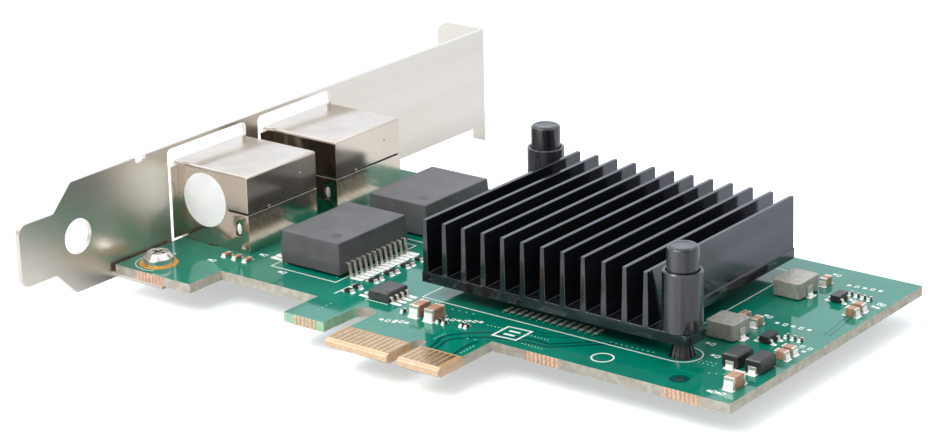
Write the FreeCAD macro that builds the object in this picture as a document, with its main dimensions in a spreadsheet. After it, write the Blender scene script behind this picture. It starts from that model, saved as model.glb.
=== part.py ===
"""Dual-port network interface card on a low-profile x1 board with a full-height bracket.

Frame: the origin is the centre of the key notch, on the nose of the finger edge, half way
through the board. X runs along the board, away from the bracket. Y runs from the gold
fingers to the opposite edge. Z rises from the component side. All sizes are millimetres.
"""

import FreeCAD, Part
import math
import os
import re
import Sketcher

# Driving dimensions, one spreadsheet cell each.
SIZES = {
    # bare board
    "board_thickness": 1.57,
    "board_left": -60.75,
    "board_right": 49.8,
    "board_far_edge": 69.6,
    "foot_edge": 5.85,
    "foot_end": -44.75,
    "recess_edge": 13.3,
    "hook_left": -24.7,
    "hook_right": -16.8,
    "hook_edge": 5.25,
    "shoulder_edge": 13.55,
    "bevel_length": 1.2,
    "bevel_depth": 0.42,
    # finger edge
    "finger_pitch": 1.0,
    "finger_width": 0.7,
    "finger_end": 5.9,
    "finger_skin": 0.05,
    "finger_margin": 1.1,
    "first_finger": 1.5,
    "key_width": 1.9,
    "key_depth": 8.25,
    "relief_top": 13.9,
    "fingers_long": 11,
    "fingers_short": 7,
    # bracket
    "sheet": 0.86,
    "bracket_gap": 0.6,
    "bracket_width": 18.42,
    "bracket_top": 106.3,
    "tongue_width": 10.19,
    "tongue_end": -13.75,
    "taper_start": -2.2,
    "tongue_round": 1.6,
    "flange_depth": 10.9,
    "flange_overhang": 3.17,
    "flange_round": 2.4,
    "bend_radius": 0.5,
    "bend_outer_radius": 1.27,
    "screw_notch_width": 4.42,
    "screw_notch_reach": 6.0,
    "screw_notch_place": 5.1,
    "round_hole": 5.8,
    "round_hole_place": -1.28,
    "window_clearance": 0.3,
    "window_lead": 1.9,
    "window_strip": 0.62,
    "window_round": 0.9,
    "edge_notch_start": 12.4,
    "edge_notch_width": 2.3,
    "edge_notch_depth": 0.9,
    "ear_length": 11.0,
    "ear_width": 8.0,
    # bracket screws
    "screw_inset": 5.2,
    "near_screw": 10.4,
    "far_screw": 65.0,
    "screw_shank": 3.0,
    "screw_hole": 3.3,
    "screw_head": 5.0,
    "screw_head_height": 1.9,
    "screw_head_rim": 1.05,
    "screw_head_dome": 0.75,
    "screw_tail": 0.6,
    "screw_land": 6.4,
    "land_skin": 0.05,
    "recess_span": 2.6,
    "recess_blade": 0.6,
    "recess_depth": 1.0,
    # jacks
    "jack_front": -62.0,
    "jack_length": 16.0,
    "jack_width": 17.0,
    "jack_height": 13.05,
    "jack_1_place": 30.1,
    "jack_pitch": 22.2,
    "shell": 0.25,
    "shell_gap": 0.05,
    "shell_round": 0.5,
    "latch_hole_width": 1.2,
    "latch_hole_height": 2.3,
    "latch_hole_place": 2.1,
    "latch_hole_level": 2.7,
    "seam_level": 6.5,
    "seam_length": 4.3,
    "seam_width": 0.3,
    "port_width": 11.9,
    "port_height": 6.9,
    "port_roof": 1.9,
    "port_depth": 13.2,
    "clip_width": 6.4,
    "clip_depth": 2.3,
    "clip_step_width": 3.4,
    "clip_step_depth": 0.9,
    "light_width": 3.0,
    "light_height": 2.0,
    "light_level": 0.9,
    "light_inset": 2.6,
    "light_depth": 5.0,
    "wire_thickness": 0.3,
    "wire_width": 0.46,
    "wire_pitch": 1.02,
    "wire_count": 8,
    "wire_bend": 3.2,
    "wire_rise": 3.6,
    "wire_reach": 9.6,
    "wire_nose": 0.64,
    "wire_fold": 0.6,
    "wire_lip": 0.36,
    "tail_width": 0.5,
    "tail_length": 1.5,
    "tail_hole": 0.9,
    "tail_pitch": 2.54,
    "tail_row": 2.54,
    "tail_place": 5.2,
    "post_width": 1.5,
    "post_thickness": 0.25,
    "post_slot_length": 2.0,
    "post_slot_width": 0.9,
    # round label on the first jack
    "label_diameter": 9.1,
    "label_thickness": 0.1,
    "label_place": 6.8,
    "label_level": 7.5,
    # isolation transformer modules
    "module_left": -38.9,
    "module_width": 12.2,
    "module_length": 17.3,
    "module_base": 0.35,
    "module_height": 5.75,
    "module_shift": -0.4,
    "module_taper": 3.43,
    "module_leads": 12,
    "module_lead_pitch": 1.27,
    "module_lead_width": 0.5,
    "module_lead_reach": 1.9,
    "module_lead_exit": 2.2,
    "lead_thickness": 0.2,
    "lead_knee": 0.3,
    "lead_ankle": 0.5,
    "lead_lean": 0.16,
    # heat sink and its push pins
    "sink_left": -11.2,
    "sink_width": 41.8,
    "sink_near_edge": 22.3,
    "sink_length": 41.1,
    "sink_clearance": 2.5,
    "sink_base": 1.7,
    "sink_height": 12.7,
    "fins": 12,
    "fin_root": 1.05,
    "fin_tip": 0.7,
    "fin_inset": 0.2,
    "fin_foot": 0.4,
    "pin_overhang": 4.05,
    "pin_inset": 2.55,
    "wing_margin": 2.55,
    "wing_length": 5.3,
    "wing_round": 0.7,
    "pin_hole": 3.0,
    "pin_shaft": 2.6,
    "knob_diameter": 4.8,
    "knob_top": 17.1,
    "knob_bottom": 11.4,
    "knob_bevel": 0.45,
    "sleeve_diameter": 6.1,
    "sleeve_top": 13.4,
    "sleeve_floor": 1.0,
    "running_gap": 0.12,
    "collar_radius": 1.8,
    "collar_height": 1.9,
    "barb_radius": 1.75,
    "barb_length": 2.0,
    "barb_tip": 0.7,
    # controller under the heat sink
    "chip_side": 25.0,
    "chip_height": 2.2,
    "chip_lid_side": 21.0,
    "chip_carrier": 1.0,
    # land row in front of the controller
    "land_row_start": 2.9,
    "land_row_pitch": 1.27,
    "land_row_count": 14,
    "land_row_near": 24.5,
    "land_length": 2.3,
    "land_width": 0.75,
    # eight-lead memory
    "memory_x": -15.65,
    "memory_y": 19.4,
    "memory_width": 3.9,
    "memory_length": 4.9,
    "memory_height": 1.6,
    "memory_bevel": 0.25,
    "memory_lead_pitch": 1.27,
    "memory_lead_width": 0.42,
    "memory_lead_reach": 1.05,
    "memory_lead_exit": 0.75,
    "memory_leads": 4,
    # power inductors
    "inductor_height": 2.75,
    "inductor_bevel": 0.3,
    "inductor_1_x": 35.9,
    "inductor_1_y": 35.3,
    "inductor_1_width": 4.9,
    "inductor_1_length": 4.8,
    "inductor_2_x": 35.2,
    "inductor_2_y": 56.1,
    "inductor_2_width": 4.8,
    "inductor_2_length": 6.1,
    "terminal_width": 1.6,
    "terminal_height": 1.7,
    "terminal_foot": 0.7,
    "terminal_skin": 0.15,
    # rectifier diodes
    "diode_width": 2.7,
    "diode_length": 4.3,
    "diode_height": 2.15,
    "diode_bevel": 0.3,
    "diode_strap": 1.4,
    "diode_strap_height": 1.1,
    "diode_foot": 0.7,
    "diode_1_x": 42.85,
    "diode_1_y": 26.85,
    "diode_2_x": 46.65,
    "diode_2_y": 26.85,
    # five-lead regulators
    "regulator_width": 1.6,
    "regulator_length": 2.9,
    "regulator_height": 1.15,
    "regulator_lead_pitch": 0.95,
    "regulator_lead_width": 0.4,
    "regulator_lead_reach": 0.75,
    "regulator_lead_exit": 0.5,
    "regulator_1_x": 42.0,
    "regulator_1_y": 36.8,
    "regulator_2_x": 42.25,
    "regulator_2_y": 57.1,
    # ceramic and resistor chips: length, width, height and metal end of each case size
    "bulk_length": 3.2,
    "bulk_width": 1.75,
    "bulk_height": 1.9,
    "bulk_end": 0.5,
    "bypass_length": 2.0,
    "bypass_width": 1.25,
    "bypass_height": 1.3,
    "bypass_end": 0.4,
    "resistor_length": 1.6,
    "resistor_width": 0.8,
    "resistor_height": 0.5,
    "resistor_end": 0.3,
    "mini_length": 1.0,
    "mini_width": 0.5,
    "mini_height": 0.45,
    "mini_end": 0.25,
}

# Centres of the chips on the board, and the axis that each lies along.
BULK_CHIPS = [("Y", -6.95, 16.3), ("Y", -4.0, 16.15), ("Y", 47.0, 19.3)]
BYPASS_CHIPS = [
    ("Y", 37.35, 41.1),
    ("Y", 34.75, 41.8),
    ("Y", 37.2, 61.8),
    ("X", 47.1, 32.0),
    ("X", 47.1, 34.1),
    ("X", 47.0, 52.6),
    ("X", 46.9, 54.9),
]
RESISTOR_CHIPS = [
    ("Y", -48.7, 19.1),
    ("Y", -46.5, 19.1),
    ("Y", -44.3, 19.1),
    ("X", -22.0, 17.5),
    ("X", -22.0, 19.55),
    ("X", -21.75, 23.1),
    ("X", -21.75, 24.45),
    ("X", -21.75, 27.0),
    ("X", -21.75, 28.4),
    ("X", -21.75, 31.1),
    ("X", -21.75, 32.4),
    ("X", -21.75, 34.8),
]
MINI_CHIPS = [
    ("Y", -9.6, 15.6),
    ("Y", -2.6, 15.3),
    ("Y", -1.4, 15.2),
    ("Y", 1.3, 16.0),
    ("Y", 2.2, 16.0),
    ("Y", 43.5, 39.5),
    ("Y", 44.75, 39.4),
    ("Y", 45.95, 39.3),
    ("Y", 42.5, 60.2),
    ("Y", 43.75, 60.0),
    ("Y", 44.95, 59.8),
    ("Y", 46.1, 59.7),
]

SHEET_NAME = "dims"
TOLERANCE = 1e-4
TAILS_A_ROW = 4

doc = FreeCAD.newDocument("network_card")
sheet = doc.addObject("Spreadsheet::Sheet", SHEET_NAME)
for row, (alias, size) in enumerate(SIZES.items(), start=1):
    sheet.set(f"A{row}", alias.replace("_", " "))
    sheet.set(f"B{row}", str(size))
    sheet.setAlias(f"B{row}", alias)
doc.recompute()

# Derived levels that many pieces share, written once as expressions.
BOARD_TOP = "board_thickness / 2"
BOARD_BOTTOM = "-board_thickness / 2"
BRACKET_INNER = "board_left - bracket_gap"
BRACKET_OUTER = "board_left - bracket_gap - sheet"
BRACKET_LOW = "-board_thickness / 2 - sheet"
BRACKET_HIGH = "bracket_width - board_thickness / 2 - sheet"
SINK_X = "sink_left + sink_width / 2"
SINK_Y = "sink_near_edge + sink_length / 2"
SCREW_X = "board_left + screw_inset"

parts = {}


def linked(expression):
    """Puts the sheet's name before each alias of an expression."""
    return re.sub(
        r"[a-z][a-z_0-9]*",
        lambda word: f"{SHEET_NAME}.{word.group()}" if word.group() in SIZES else word.group(),
        str(expression),
    )


def value(expression):
    """Gives the number that an expression has now."""
    return float(sheet.evalExpression(linked(expression)))


def bind(thing, **expressions):
    """Ties properties of an object to the sheet."""
    for name, expression in expressions.items():
        thing.setExpression(name, linked(expression))


def move_to(thing, x="0", y="0", z="0"):
    """Ties the place of an object to the sheet."""
    for axis, expression in zip("xyz", (x, y, z)):
        thing.setExpression(f"Placement.Base.{axis}", linked(expression))


def new_body(label):
    """Starts a body that is written as the node of that name."""
    body = doc.addObject("PartDesign::Body", label)
    body.Label = label
    body.AllowCompound = True
    parts[label] = body
    return body


def origin_feature(body, role):
    """Finds a plane or an axis of the body's own origin."""
    return next(item for item in body.Origin.OriginFeatures if item.Role == role)


def new_sketch(body, plane, level="0"):
    """Adds a sketch on an origin plane, lifted along that plane's positive axis."""
    sketch = body.newObject("Sketcher::SketchObject", f"{body.Name}_sketch")
    sketch.AttachmentSupport = (origin_feature(body, plane), "")
    sketch.MapMode = "FlatFace"
    sign = "-" if plane == "XZ_Plane" else ""
    sketch.setExpression("AttachmentOffset.Base.z", linked(f"{sign}({level})"))
    return sketch


def fix_point(sketch, geometry, vertex, x, y):
    """Ties one point of a sketch to the sheet by its distances from the origin."""
    for kind, expression in (("DistanceX", x), ("DistanceY", y)):
        index = sketch.addConstraint(
            Sketcher.Constraint(kind, -1, 1, geometry, vertex, value(expression))
        )
        sketch.setExpression(f"Constraints[{index}]", linked(expression))


def polygon(sketch, corners):
    """Adds a closed outline through corners given as pairs of expressions."""
    first = sketch.GeometryCount
    places = [FreeCAD.Vector(value(x), value(y), 0) for x, y in corners]
    count = len(corners)
    for number, start in enumerate(places):
        sketch.addGeometry(Part.LineSegment(start, places[(number + 1) % count]), False)
    for number in range(count):
        follower = first + (number + 1) % count
        sketch.addConstraint(Sketcher.Constraint("Coincident", first + number, 2, follower, 1))
    for number, (x, y) in enumerate(corners):
        fix_point(sketch, first + number, 1, x, y)


def rectangle(sketch, left, low, right, high):
    """Adds a rectangle between two corners."""
    polygon(sketch, [(left, low), (right, low), (right, high), (left, high)])


def octagon(sketch, x, y, width):
    """Adds a small eight-sided hole of a width across its flats."""
    flat = f"{width} / 2"
    short = f"{width} * {math.tan(math.pi / 8) / 2:.6f}"
    steps = [(flat, short), (short, flat)]
    corners = []
    for sign_x, sign_y in (("+", "+"), ("-", "+"), ("-", "-"), ("+", "-")):
        pairs = steps if sign_x == sign_y else steps[::-1]
        corners += [(f"{x} {sign_x} {a}", f"{y} {sign_y} {b}") for a, b in pairs]
    polygon(sketch, corners)


def circle(sketch, x, y, radius):
    """Adds a circle whose centre and radius follow the sheet."""
    number = sketch.GeometryCount
    centre = FreeCAD.Vector(value(x), value(y), 0)
    up = FreeCAD.Vector(0, 0, 1)
    sketch.addGeometry(Part.Circle(centre, up, value(radius)), False)
    fix_point(sketch, number, 3, x, y)
    index = sketch.addConstraint(Sketcher.Constraint("Radius", number, value(radius)))
    sketch.setExpression(f"Constraints[{index}]", linked(radius))


def feature(body, kind, sketch):
    """Adds a sketch-based feature to a body."""
    item = body.newObject(f"PartDesign::{kind}", f"{body.Name}_{kind.lower()}")
    item.Profile = sketch
    sketch.Visibility = False
    return item


def pad(body, sketch, length, downward=False):
    """Raises a sketch by a length along the positive axis of its plane."""
    item = feature(body, "Pad", sketch)
    reverse_plane = "XZ" in sketch.AttachmentSupport[0][0].Role
    item.Reversed = downward != reverse_plane
    bind(item, Length=length)
    return item


def wide_pad(body, sketch, width):
    """Thickens a sketch equally to both sides."""
    item = feature(body, "Pad", sketch)
    item.SideType = "Symmetric"
    bind(item, Length=width)
    return item


def cut_through(body, sketch):
    """Cuts a sketch through the whole body, both ways."""
    item = feature(body, "Pocket", sketch)
    item.SideType = "Symmetric"
    item.Type = "ThroughAll"
    return item


def cut(body, sketch, depth, upward=False):
    """Cuts a sketch against the positive axis of its plane, or along it."""
    item = feature(body, "Pocket", sketch)
    reverse_plane = "XZ" in sketch.AttachmentSupport[0][0].Role
    item.Reversed = upward != reverse_plane
    bind(item, Length=depth)
    return item


def turn(body, sketch):
    """Revolves a sketch about its own vertical axis."""
    item = feature(body, "Revolution", sketch)
    item.ReferenceAxis = (sketch, ["V_Axis"])
    item.Angle = 360
    return item


def repeat(body, originals, axis, spacing, count):
    """Repeats features along an axis of the body's origin."""
    item = body.newObject("PartDesign::LinearPattern", f"{body.Name}_pattern")
    item.Originals = originals
    item.Direction = (origin_feature(body, axis), [""])
    item.Mode = "Extent"
    bind(item, Length=f"({spacing}) * (({count}) - 1)", Occurrences=count)
    body.Tip = item
    return item


def round_edges(body, radius, chosen):
    """Rounds the edges of the body's tip that a test picks out."""
    doc.recompute()
    tip = body.Tip
    names = [f"Edge{n}" for n, edge in enumerate(tip.Shape.Edges, start=1) if chosen(edge)]
    item = body.newObject("PartDesign::Fillet", f"{body.Name}_fillet")
    item.Base = (tip, names)
    bind(item, Radius=radius)
    return item


def bevel_edges(body, size, chosen):
    """Chamfers the edges of the body's tip that a test picks out."""
    doc.recompute()
    tip = body.Tip
    names = [f"Edge{n}" for n, edge in enumerate(tip.Shape.Edges, start=1) if chosen(edge)]
    item = body.newObject("PartDesign::Chamfer", f"{body.Name}_chamfer")
    item.Base = (tip, names)
    bind(item, Size=size)
    return item


def near(first, second):
    """Tells whether two lengths agree."""
    return abs(first - second) < TOLERANCE


def runs_along(edge, axis):
    """Tells whether a straight edge lies along a named axis."""
    if edge.Curve.TypeId != "Part::GeomLine":
        return False
    return near(abs(getattr(edge.Curve.Direction, axis)), 1)


def block(name, centre_x, centre_y, base, length, width, height):
    """Makes a plain block that stands on a level, centred on a place."""
    box = doc.addObject("Part::Box", name)
    bind(box, Length=length, Width=width, Height=height)
    move_to(box, f"{centre_x} - ({length}) / 2", f"{centre_y} - ({width}) / 2", base)
    return box


def gather(label, members):
    """Joins separate solids into one node without fusing them."""
    group = doc.addObject("Part::Compound", label)
    group.Label = label
    group.Links = members
    parts[label] = group
    return group


def make_board():
    """Bare board: outline, bevelled finger edge, key notch and every drilled hole."""
    body = new_body("circuit_board")
    outline = new_sketch(body, "XY_Plane", BOARD_BOTTOM)
    key_centre = "key_depth - key_width / 2"
    relief_radius = f"(({finger_left()}) - hook_right) / 2"
    relief_centre = f"relief_top - {relief_radius}"
    polygon(
        outline,
        [
            ("board_left", "foot_edge"),
            ("foot_end", "foot_edge"),
            ("foot_end", "recess_edge"),
            ("hook_left", "recess_edge"),
            ("hook_left", "hook_edge"),
            ("hook_right", "hook_edge"),
            ("hook_right", relief_centre),
            (finger_left(), relief_centre),
            (finger_left(), "0"),
            (finger_right(), "0"),
            (finger_right(), "shoulder_edge"),
            ("board_right", "shoulder_edge"),
            ("board_right", "board_far_edge"),
            ("board_left", "board_far_edge"),
        ],
    )
    pad(body, outline, "board_thickness")
    relief = new_sketch(body, "XY_Plane", BOARD_TOP)
    circle(relief, f"hook_right + {relief_radius}", relief_centre, relief_radius)
    cut_through(body, relief)
    key = new_sketch(body, "XY_Plane", BOARD_TOP)
    rectangle(key, "-key_width / 2", "-bevel_length", "key_width / 2", key_centre)
    cut_through(body, key)
    key_end = new_sketch(body, "XY_Plane", BOARD_TOP)
    circle(key_end, "0", key_centre, "key_width / 2")
    cut_through(body, key_end)
    for side in ("", "-"):
        bevel = new_sketch(body, "YZ_Plane")
        face = f"{side}(board_thickness / 2)"
        root = f"{side}(board_thickness / 2 - bevel_depth)"
        polygon(bevel, [("0", root), ("bevel_length", face), ("0", face)])
        cut_through(body, bevel)
    holes = new_sketch(body, "XY_Plane", BOARD_TOP)
    for place in ("near_screw", "far_screw"):
        circle(holes, SCREW_X, place, "screw_hole / 2")
    for number in (1, 2):
        circle(holes, *pin_place(number), "pin_hole / 2")
        for side in (1, -1):
            middle = f"{jack_y(number)} + {side} * (jack_width - post_thickness) / 2"
            rectangle(
                holes,
                f"{post_x()} - post_slot_length / 2",
                f"{middle} - post_slot_width / 2",
                f"{post_x()} + post_slot_length / 2",
                f"{middle} + post_slot_width / 2",
            )
    cut_through(body, holes)
    for number in (1, 2):
        tails = new_sketch(body, "XY_Plane", BOARD_TOP)
        for x, y in tail_places(number):
            octagon(tails, x, y, "tail_hole")
        cut_through(body, tails)


def finger_left():
    """X of the free end of the long row of fingers."""
    return "-(fingers_long - 1) * finger_pitch - first_finger - finger_margin"


def finger_right():
    """X of the free end of the short row of fingers."""
    return "(fingers_short - 1) * finger_pitch + first_finger + finger_margin"


def make_fingers():
    """Gold contacts: eleven and seven a side, on both faces of the board."""
    body = new_body("edge_contacts")
    for base in (BOARD_TOP, f"{BOARD_BOTTOM} - finger_skin"):
        for first, count in (
            ("-first_finger - (fingers_long - 1) * finger_pitch", "fingers_long"),
            ("first_finger", "fingers_short"),
        ):
            strip = new_sketch(body, "XY_Plane", base)
            left = f"{first} - finger_width / 2"
            rectangle(strip, left, "bevel_length", f"{left} + finger_width", "finger_end")
            repeat(body, [pad(body, strip, "finger_skin")], "X_Axis", "finger_pitch", count)


def jack_y(number):
    """Y of the centre line of a jack."""
    return f"(jack_1_place + {number - 1} * jack_pitch)"


def post_x():
    """X of the two board posts of a jack's shield."""
    return "jack_front + jack_length / 2"


def tail_places(number):
    """Places of the eight solder tails of a jack, in two staggered rows."""
    places = []
    for row in (0, 1):
        for place in range(TAILS_A_ROW):
            steps = place - (TAILS_A_ROW - 1) / 2 + (row - 0.5) / 2
            offset = f"{steps} * tail_pitch"
            x = f"jack_front + jack_length - tail_place + {row} * tail_row"
            places.append((x, f"{jack_y(number)} + {offset}"))
    return places


def make_screw_lands():
    """Bare copper rings under the two bracket screws."""
    body = new_body("screw_lands")
    ring = new_sketch(body, "XY_Plane", BOARD_TOP)
    circle(ring, SCREW_X, "near_screw", "screw_land / 2")
    circle(ring, SCREW_X, "near_screw", "screw_hole / 2")
    land = pad(body, ring, "land_skin")
    repeat(body, [land], "Y_Axis", "far_screw - near_screw", "2")


def make_screws():
    """Two pan-head screws with a cross recess, through the board into the bracket's ears."""
    body = new_body("bracket_screws")
    seat = f"{BOARD_TOP} + land_skin"
    move_to(body, SCREW_X, "near_screw", seat)
    profile = new_sketch(body, "XZ_Plane")
    tail = "-(land_skin + board_thickness + sheet + screw_tail)"
    polygon(
        profile,
        [
            ("0", tail),
            ("screw_shank / 2", tail),
            ("screw_shank / 2", "0"),
            ("screw_head / 2", "0"),
            ("screw_head / 2", "screw_head_rim"),
            ("screw_head / 2 - screw_head_dome", "screw_head_height"),
            ("0", "screw_head_height"),
        ],
    )
    turned = turn(body, profile)
    recesses = []
    for along, across in (("recess_span", "recess_blade"), ("recess_blade", "recess_span")):
        blade = new_sketch(body, "XY_Plane", "screw_head_height")
        rectangle(
            blade, f"-{along} / 2", f"-{across} / 2", f"{along} / 2", f"{across} / 2"
        )
        recesses.append(cut(body, blade, "recess_depth"))
    repeat(body, [turned] + recesses, "Y_Axis", "far_screw - near_screw", "2")


def make_bracket():
    """Full-height bracket: tongue, two port windows, screw flange and two ears."""
    body = new_body("mounting_bracket")
    plate = new_sketch(body, "YZ_Plane", BRACKET_OUTER)
    middle = f"({BRACKET_LOW} + {BRACKET_HIGH}) / 2"
    taper_end = "taper_start - (bracket_width - tongue_width) / 2"
    polygon(
        plate,
        [
            ("tongue_end", f"{middle} - tongue_width / 2"),
            (taper_end, f"{middle} - tongue_width / 2"),
            ("taper_start", BRACKET_LOW),
            ("bracket_top", BRACKET_LOW),
            ("bracket_top", BRACKET_HIGH),
            ("taper_start", BRACKET_HIGH),
            (taper_end, f"{middle} + tongue_width / 2"),
            ("tongue_end", f"{middle} + tongue_width / 2"),
        ],
    )
    pad(body, plate, "sheet")
    flange = new_sketch(body, "XY_Plane", f"{BRACKET_LOW} - flange_overhang")
    flange_tip = f"{BRACKET_INNER} - flange_depth"
    rectangle(flange, flange_tip, "bracket_top - sheet", BRACKET_INNER, "bracket_top")
    pad(body, flange, "bracket_width + flange_overhang")
    for place in ("near_screw", "far_screw"):
        ear = new_sketch(body, "XY_Plane", BRACKET_LOW)
        rectangle(
            ear,
            BRACKET_OUTER,
            f"{place} - ear_width / 2",
            f"{BRACKET_OUTER} + ear_length",
            f"{place} + ear_width / 2",
        )
        pad(body, ear, "sheet")
    windows = new_sketch(body, "YZ_Plane")
    for number in (1, 2):
        rectangle(
            windows,
            f"{jack_y(number)} - jack_width / 2 - window_lead",
            f"{BOARD_TOP} - window_round",
            f"{jack_y(number)} + jack_width / 2 + window_clearance",
            f"{BRACKET_HIGH} - window_strip",
        )
    cut_through(body, windows)
    openings = new_sketch(body, "YZ_Plane")
    circle(openings, "round_hole_place", middle, "round_hole / 2")
    rectangle(
        openings,
        "edge_notch_start",
        f"{BRACKET_HIGH} - edge_notch_depth",
        "edge_notch_start + edge_notch_width",
        f"{BRACKET_HIGH} + edge_notch_depth",
    )
    cut_through(body, openings)
    notch = new_sketch(body, "XZ_Plane", "bracket_top")
    notch_x = f"{BRACKET_INNER} - screw_notch_place"
    notch_end = f"{BRACKET_LOW} - flange_overhang + screw_notch_reach - screw_notch_width / 2"
    rectangle(
        notch,
        f"{notch_x} - screw_notch_width / 2",
        f"{BRACKET_LOW} - 2 * flange_overhang",
        f"{notch_x} + screw_notch_width / 2",
        notch_end,
    )
    cut(body, notch, "2 * sheet")
    notch_round = new_sketch(body, "XZ_Plane", "bracket_top")
    circle(notch_round, notch_x, notch_end, "screw_notch_width / 2")
    cut(body, notch_round, "2 * sheet")
    threads = new_sketch(body, "XY_Plane", BOARD_BOTTOM)
    for place in ("near_screw", "far_screw"):
        circle(threads, SCREW_X, place, "screw_shank / 2")
    cut(body, threads, "2 * sheet")
    inner = value(BRACKET_INNER)
    outer = value(BRACKET_OUTER)
    top = value("bracket_top")
    deep = value(flange_tip)
    end = value("tongue_end")

    def window_corner(edge):
        place = edge.CenterOfMass
        in_plate = near(place.x, (inner + outer) / 2)
        return in_plate and value("near_screw + ear_width") < place.y < value("board_far_edge")

    round_edges(body, "window_round", window_corner)
    round_edges(
        body, "tongue_round", lambda edge: runs_along(edge, "x") and near(edge.CenterOfMass.y, end)
    )
    round_edges(
        body, "flange_round", lambda edge: runs_along(edge, "y") and near(edge.CenterOfMass.x, deep)
    )

    def outer_bend(edge):
        place = edge.CenterOfMass
        return runs_along(edge, "z") and near(place.x, inner) and near(place.y, top)

    def inner_bend(edge):
        place = edge.CenterOfMass
        return runs_along(edge, "z") and near(place.x, outer) and near(place.y, top - value("sheet"))

    round_edges(body, "bend_outer_radius", outer_bend)
    round_edges(body, "bend_radius", inner_bend)


def make_shield(number):
    """Folded shell of a jack: open at the front and below, with latch holes and side seams."""
    label = f"jack_{number}_shield"
    body = new_body(label)
    centre = jack_y(number)
    rear = "jack_front + jack_length"
    block_sketch = new_sketch(body, "XY_Plane", BOARD_TOP)
    rectangle(
        block_sketch, "jack_front", f"{centre} - jack_width / 2", rear, f"{centre} + jack_width / 2"
    )
    pad(body, block_sketch, "jack_height")
    round_edges(
        body,
        "shell_round",
        lambda edge: near(edge.CenterOfMass.z, value(f"{BOARD_TOP} + jack_height"))
        and not near(edge.CenterOfMass.x, value("jack_front")),
    )
    hollow = new_sketch(body, "XY_Plane", BOARD_TOP)
    rectangle(
        hollow,
        "jack_front - shell",
        f"{centre} - jack_width / 2 + shell",
        f"{rear} - shell",
        f"{centre} + jack_width / 2 - shell",
    )
    cut(body, hollow, "jack_height - shell", upward=True)
    holes = new_sketch(body, "XZ_Plane")
    left = f"{rear} - latch_hole_place - latch_hole_width / 2"
    low = f"{BOARD_TOP} + latch_hole_level"
    rectangle(holes, left, low, f"{left} + latch_hole_width", f"{low} + latch_hole_height")
    seam_low = f"{BOARD_TOP} + seam_level"
    rectangle(holes, f"{rear} - seam_length", seam_low, f"{rear} + shell", f"{seam_low} + seam_width")
    cut_through(body, holes)
    for low_side in (
        f"{centre} - jack_width / 2",
        f"{centre} + jack_width / 2 - post_thickness",
    ):
        post = new_sketch(body, "XY_Plane", BOARD_TOP)
        rectangle(
            post,
            f"{post_x()} - post_width / 2",
            low_side,
            f"{post_x()} + post_width / 2",
            f"{low_side} + post_thickness",
        )
        pad(body, post, "board_thickness + tail_length", downward=True)


def make_housing(number):
    """Insulator of a jack: the plug cavity with its stepped clip slot and light recesses."""
    label = f"jack_{number}_housing"
    body = new_body(label)
    centre = jack_y(number)
    clear = "(shell + shell_gap)"
    outer = new_sketch(body, "XY_Plane", BOARD_TOP)
    rectangle(
        outer,
        "jack_front + shell",
        f"{centre} - jack_width / 2 + {clear}",
        f"jack_front + jack_length - {clear}",
        f"{centre} + jack_width / 2 - {clear}",
    )
    pad(body, outer, f"jack_height - {clear}")
    roof = f"({BOARD_TOP} + jack_height - port_roof)"
    floor = f"({roof} - port_height)"
    face = "jack_front + shell"
    cavity = new_sketch(body, "YZ_Plane", face)
    steps = [
        ("port_width / 2", roof),
        ("port_width / 2", floor),
        ("clip_width / 2", floor),
        ("clip_width / 2", f"{floor} - clip_depth"),
        ("clip_step_width / 2", f"{floor} - clip_depth"),
        ("clip_step_width / 2", f"{floor} - clip_depth - clip_step_depth"),
    ]
    right_side = [(f"{centre} + {half}", level) for half, level in steps]
    left_side = [(f"{centre} - {half}", level) for half, level in reversed(steps)]
    polygon(cavity, right_side + left_side)
    cut(body, cavity, "port_depth", upward=True)
    lights = new_sketch(body, "YZ_Plane", face)
    for side in (1, -1):
        middle = f"({centre} + {side} * (jack_width / 2 - light_inset))"
        rectangle(
            lights,
            f"{middle} - light_width / 2",
            f"{BOARD_TOP} + light_level",
            f"{middle} + light_width / 2",
            f"{BOARD_TOP} + light_level + light_height",
        )
    cut(body, lights, "light_depth", upward=True)


def make_lights(number):
    """Two clear indicator bars that fill the recesses beside the clip slot."""
    members = []
    for side in (1, -1):
        members.append(
            block(
                f"jack_{number}_light_bar",
                "jack_front + shell + light_depth / 2",
                f"{jack_y(number)} + {side} * (jack_width / 2 - light_inset)",
                f"{BOARD_TOP} + light_level",
                "light_depth",
                "light_width",
                "light_height",
            )
        )
    gather(f"jack_{number}_lights", members)


def make_wires(number):
    """Eight spring wires, folded back from the mouth of the cavity towards its rear wall."""
    body = new_body(f"jack_{number}_contacts")
    first = f"{jack_y(number)} - (wire_count - 1) / 2 * wire_pitch"
    roof = f"({BOARD_TOP} + jack_height - port_roof)"
    back = "(jack_front + shell + port_depth)"
    profile = new_sketch(body, "XZ_Plane", first)
    polygon(
        profile,
        [
            (back, roof),
            (f"{back} - wire_reach - wire_nose", roof),
            (f"{back} - wire_reach", f"{roof} - wire_fold"),
            (f"{back} - wire_bend", f"{roof} - wire_rise"),
            (f"{back} - wire_bend", f"{roof} - wire_rise + wire_lip"),
            (f"{back} - wire_reach + wire_fold", f"{roof} - wire_thickness"),
            (back, f"{roof} - wire_thickness"),
        ],
    )
    repeat(body, [wide_pad(body, profile, "wire_width")], "Y_Axis", "wire_pitch", "wire_count")


def make_tails(number):
    """Eight solder tails of a jack, from its base through the board."""
    members = []
    for count, (x, y) in enumerate(tail_places(number), start=1):
        length = "(board_thickness + tail_length)"
        members.append(
            block(
                f"jack_{number}_tail_{count}",
                x,
                y,
                f"{BOARD_TOP} - {length}",
                "tail_width",
                "tail_width",
                length,
            )
        )
    gather(f"jack_{number}_tails", members)


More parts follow.
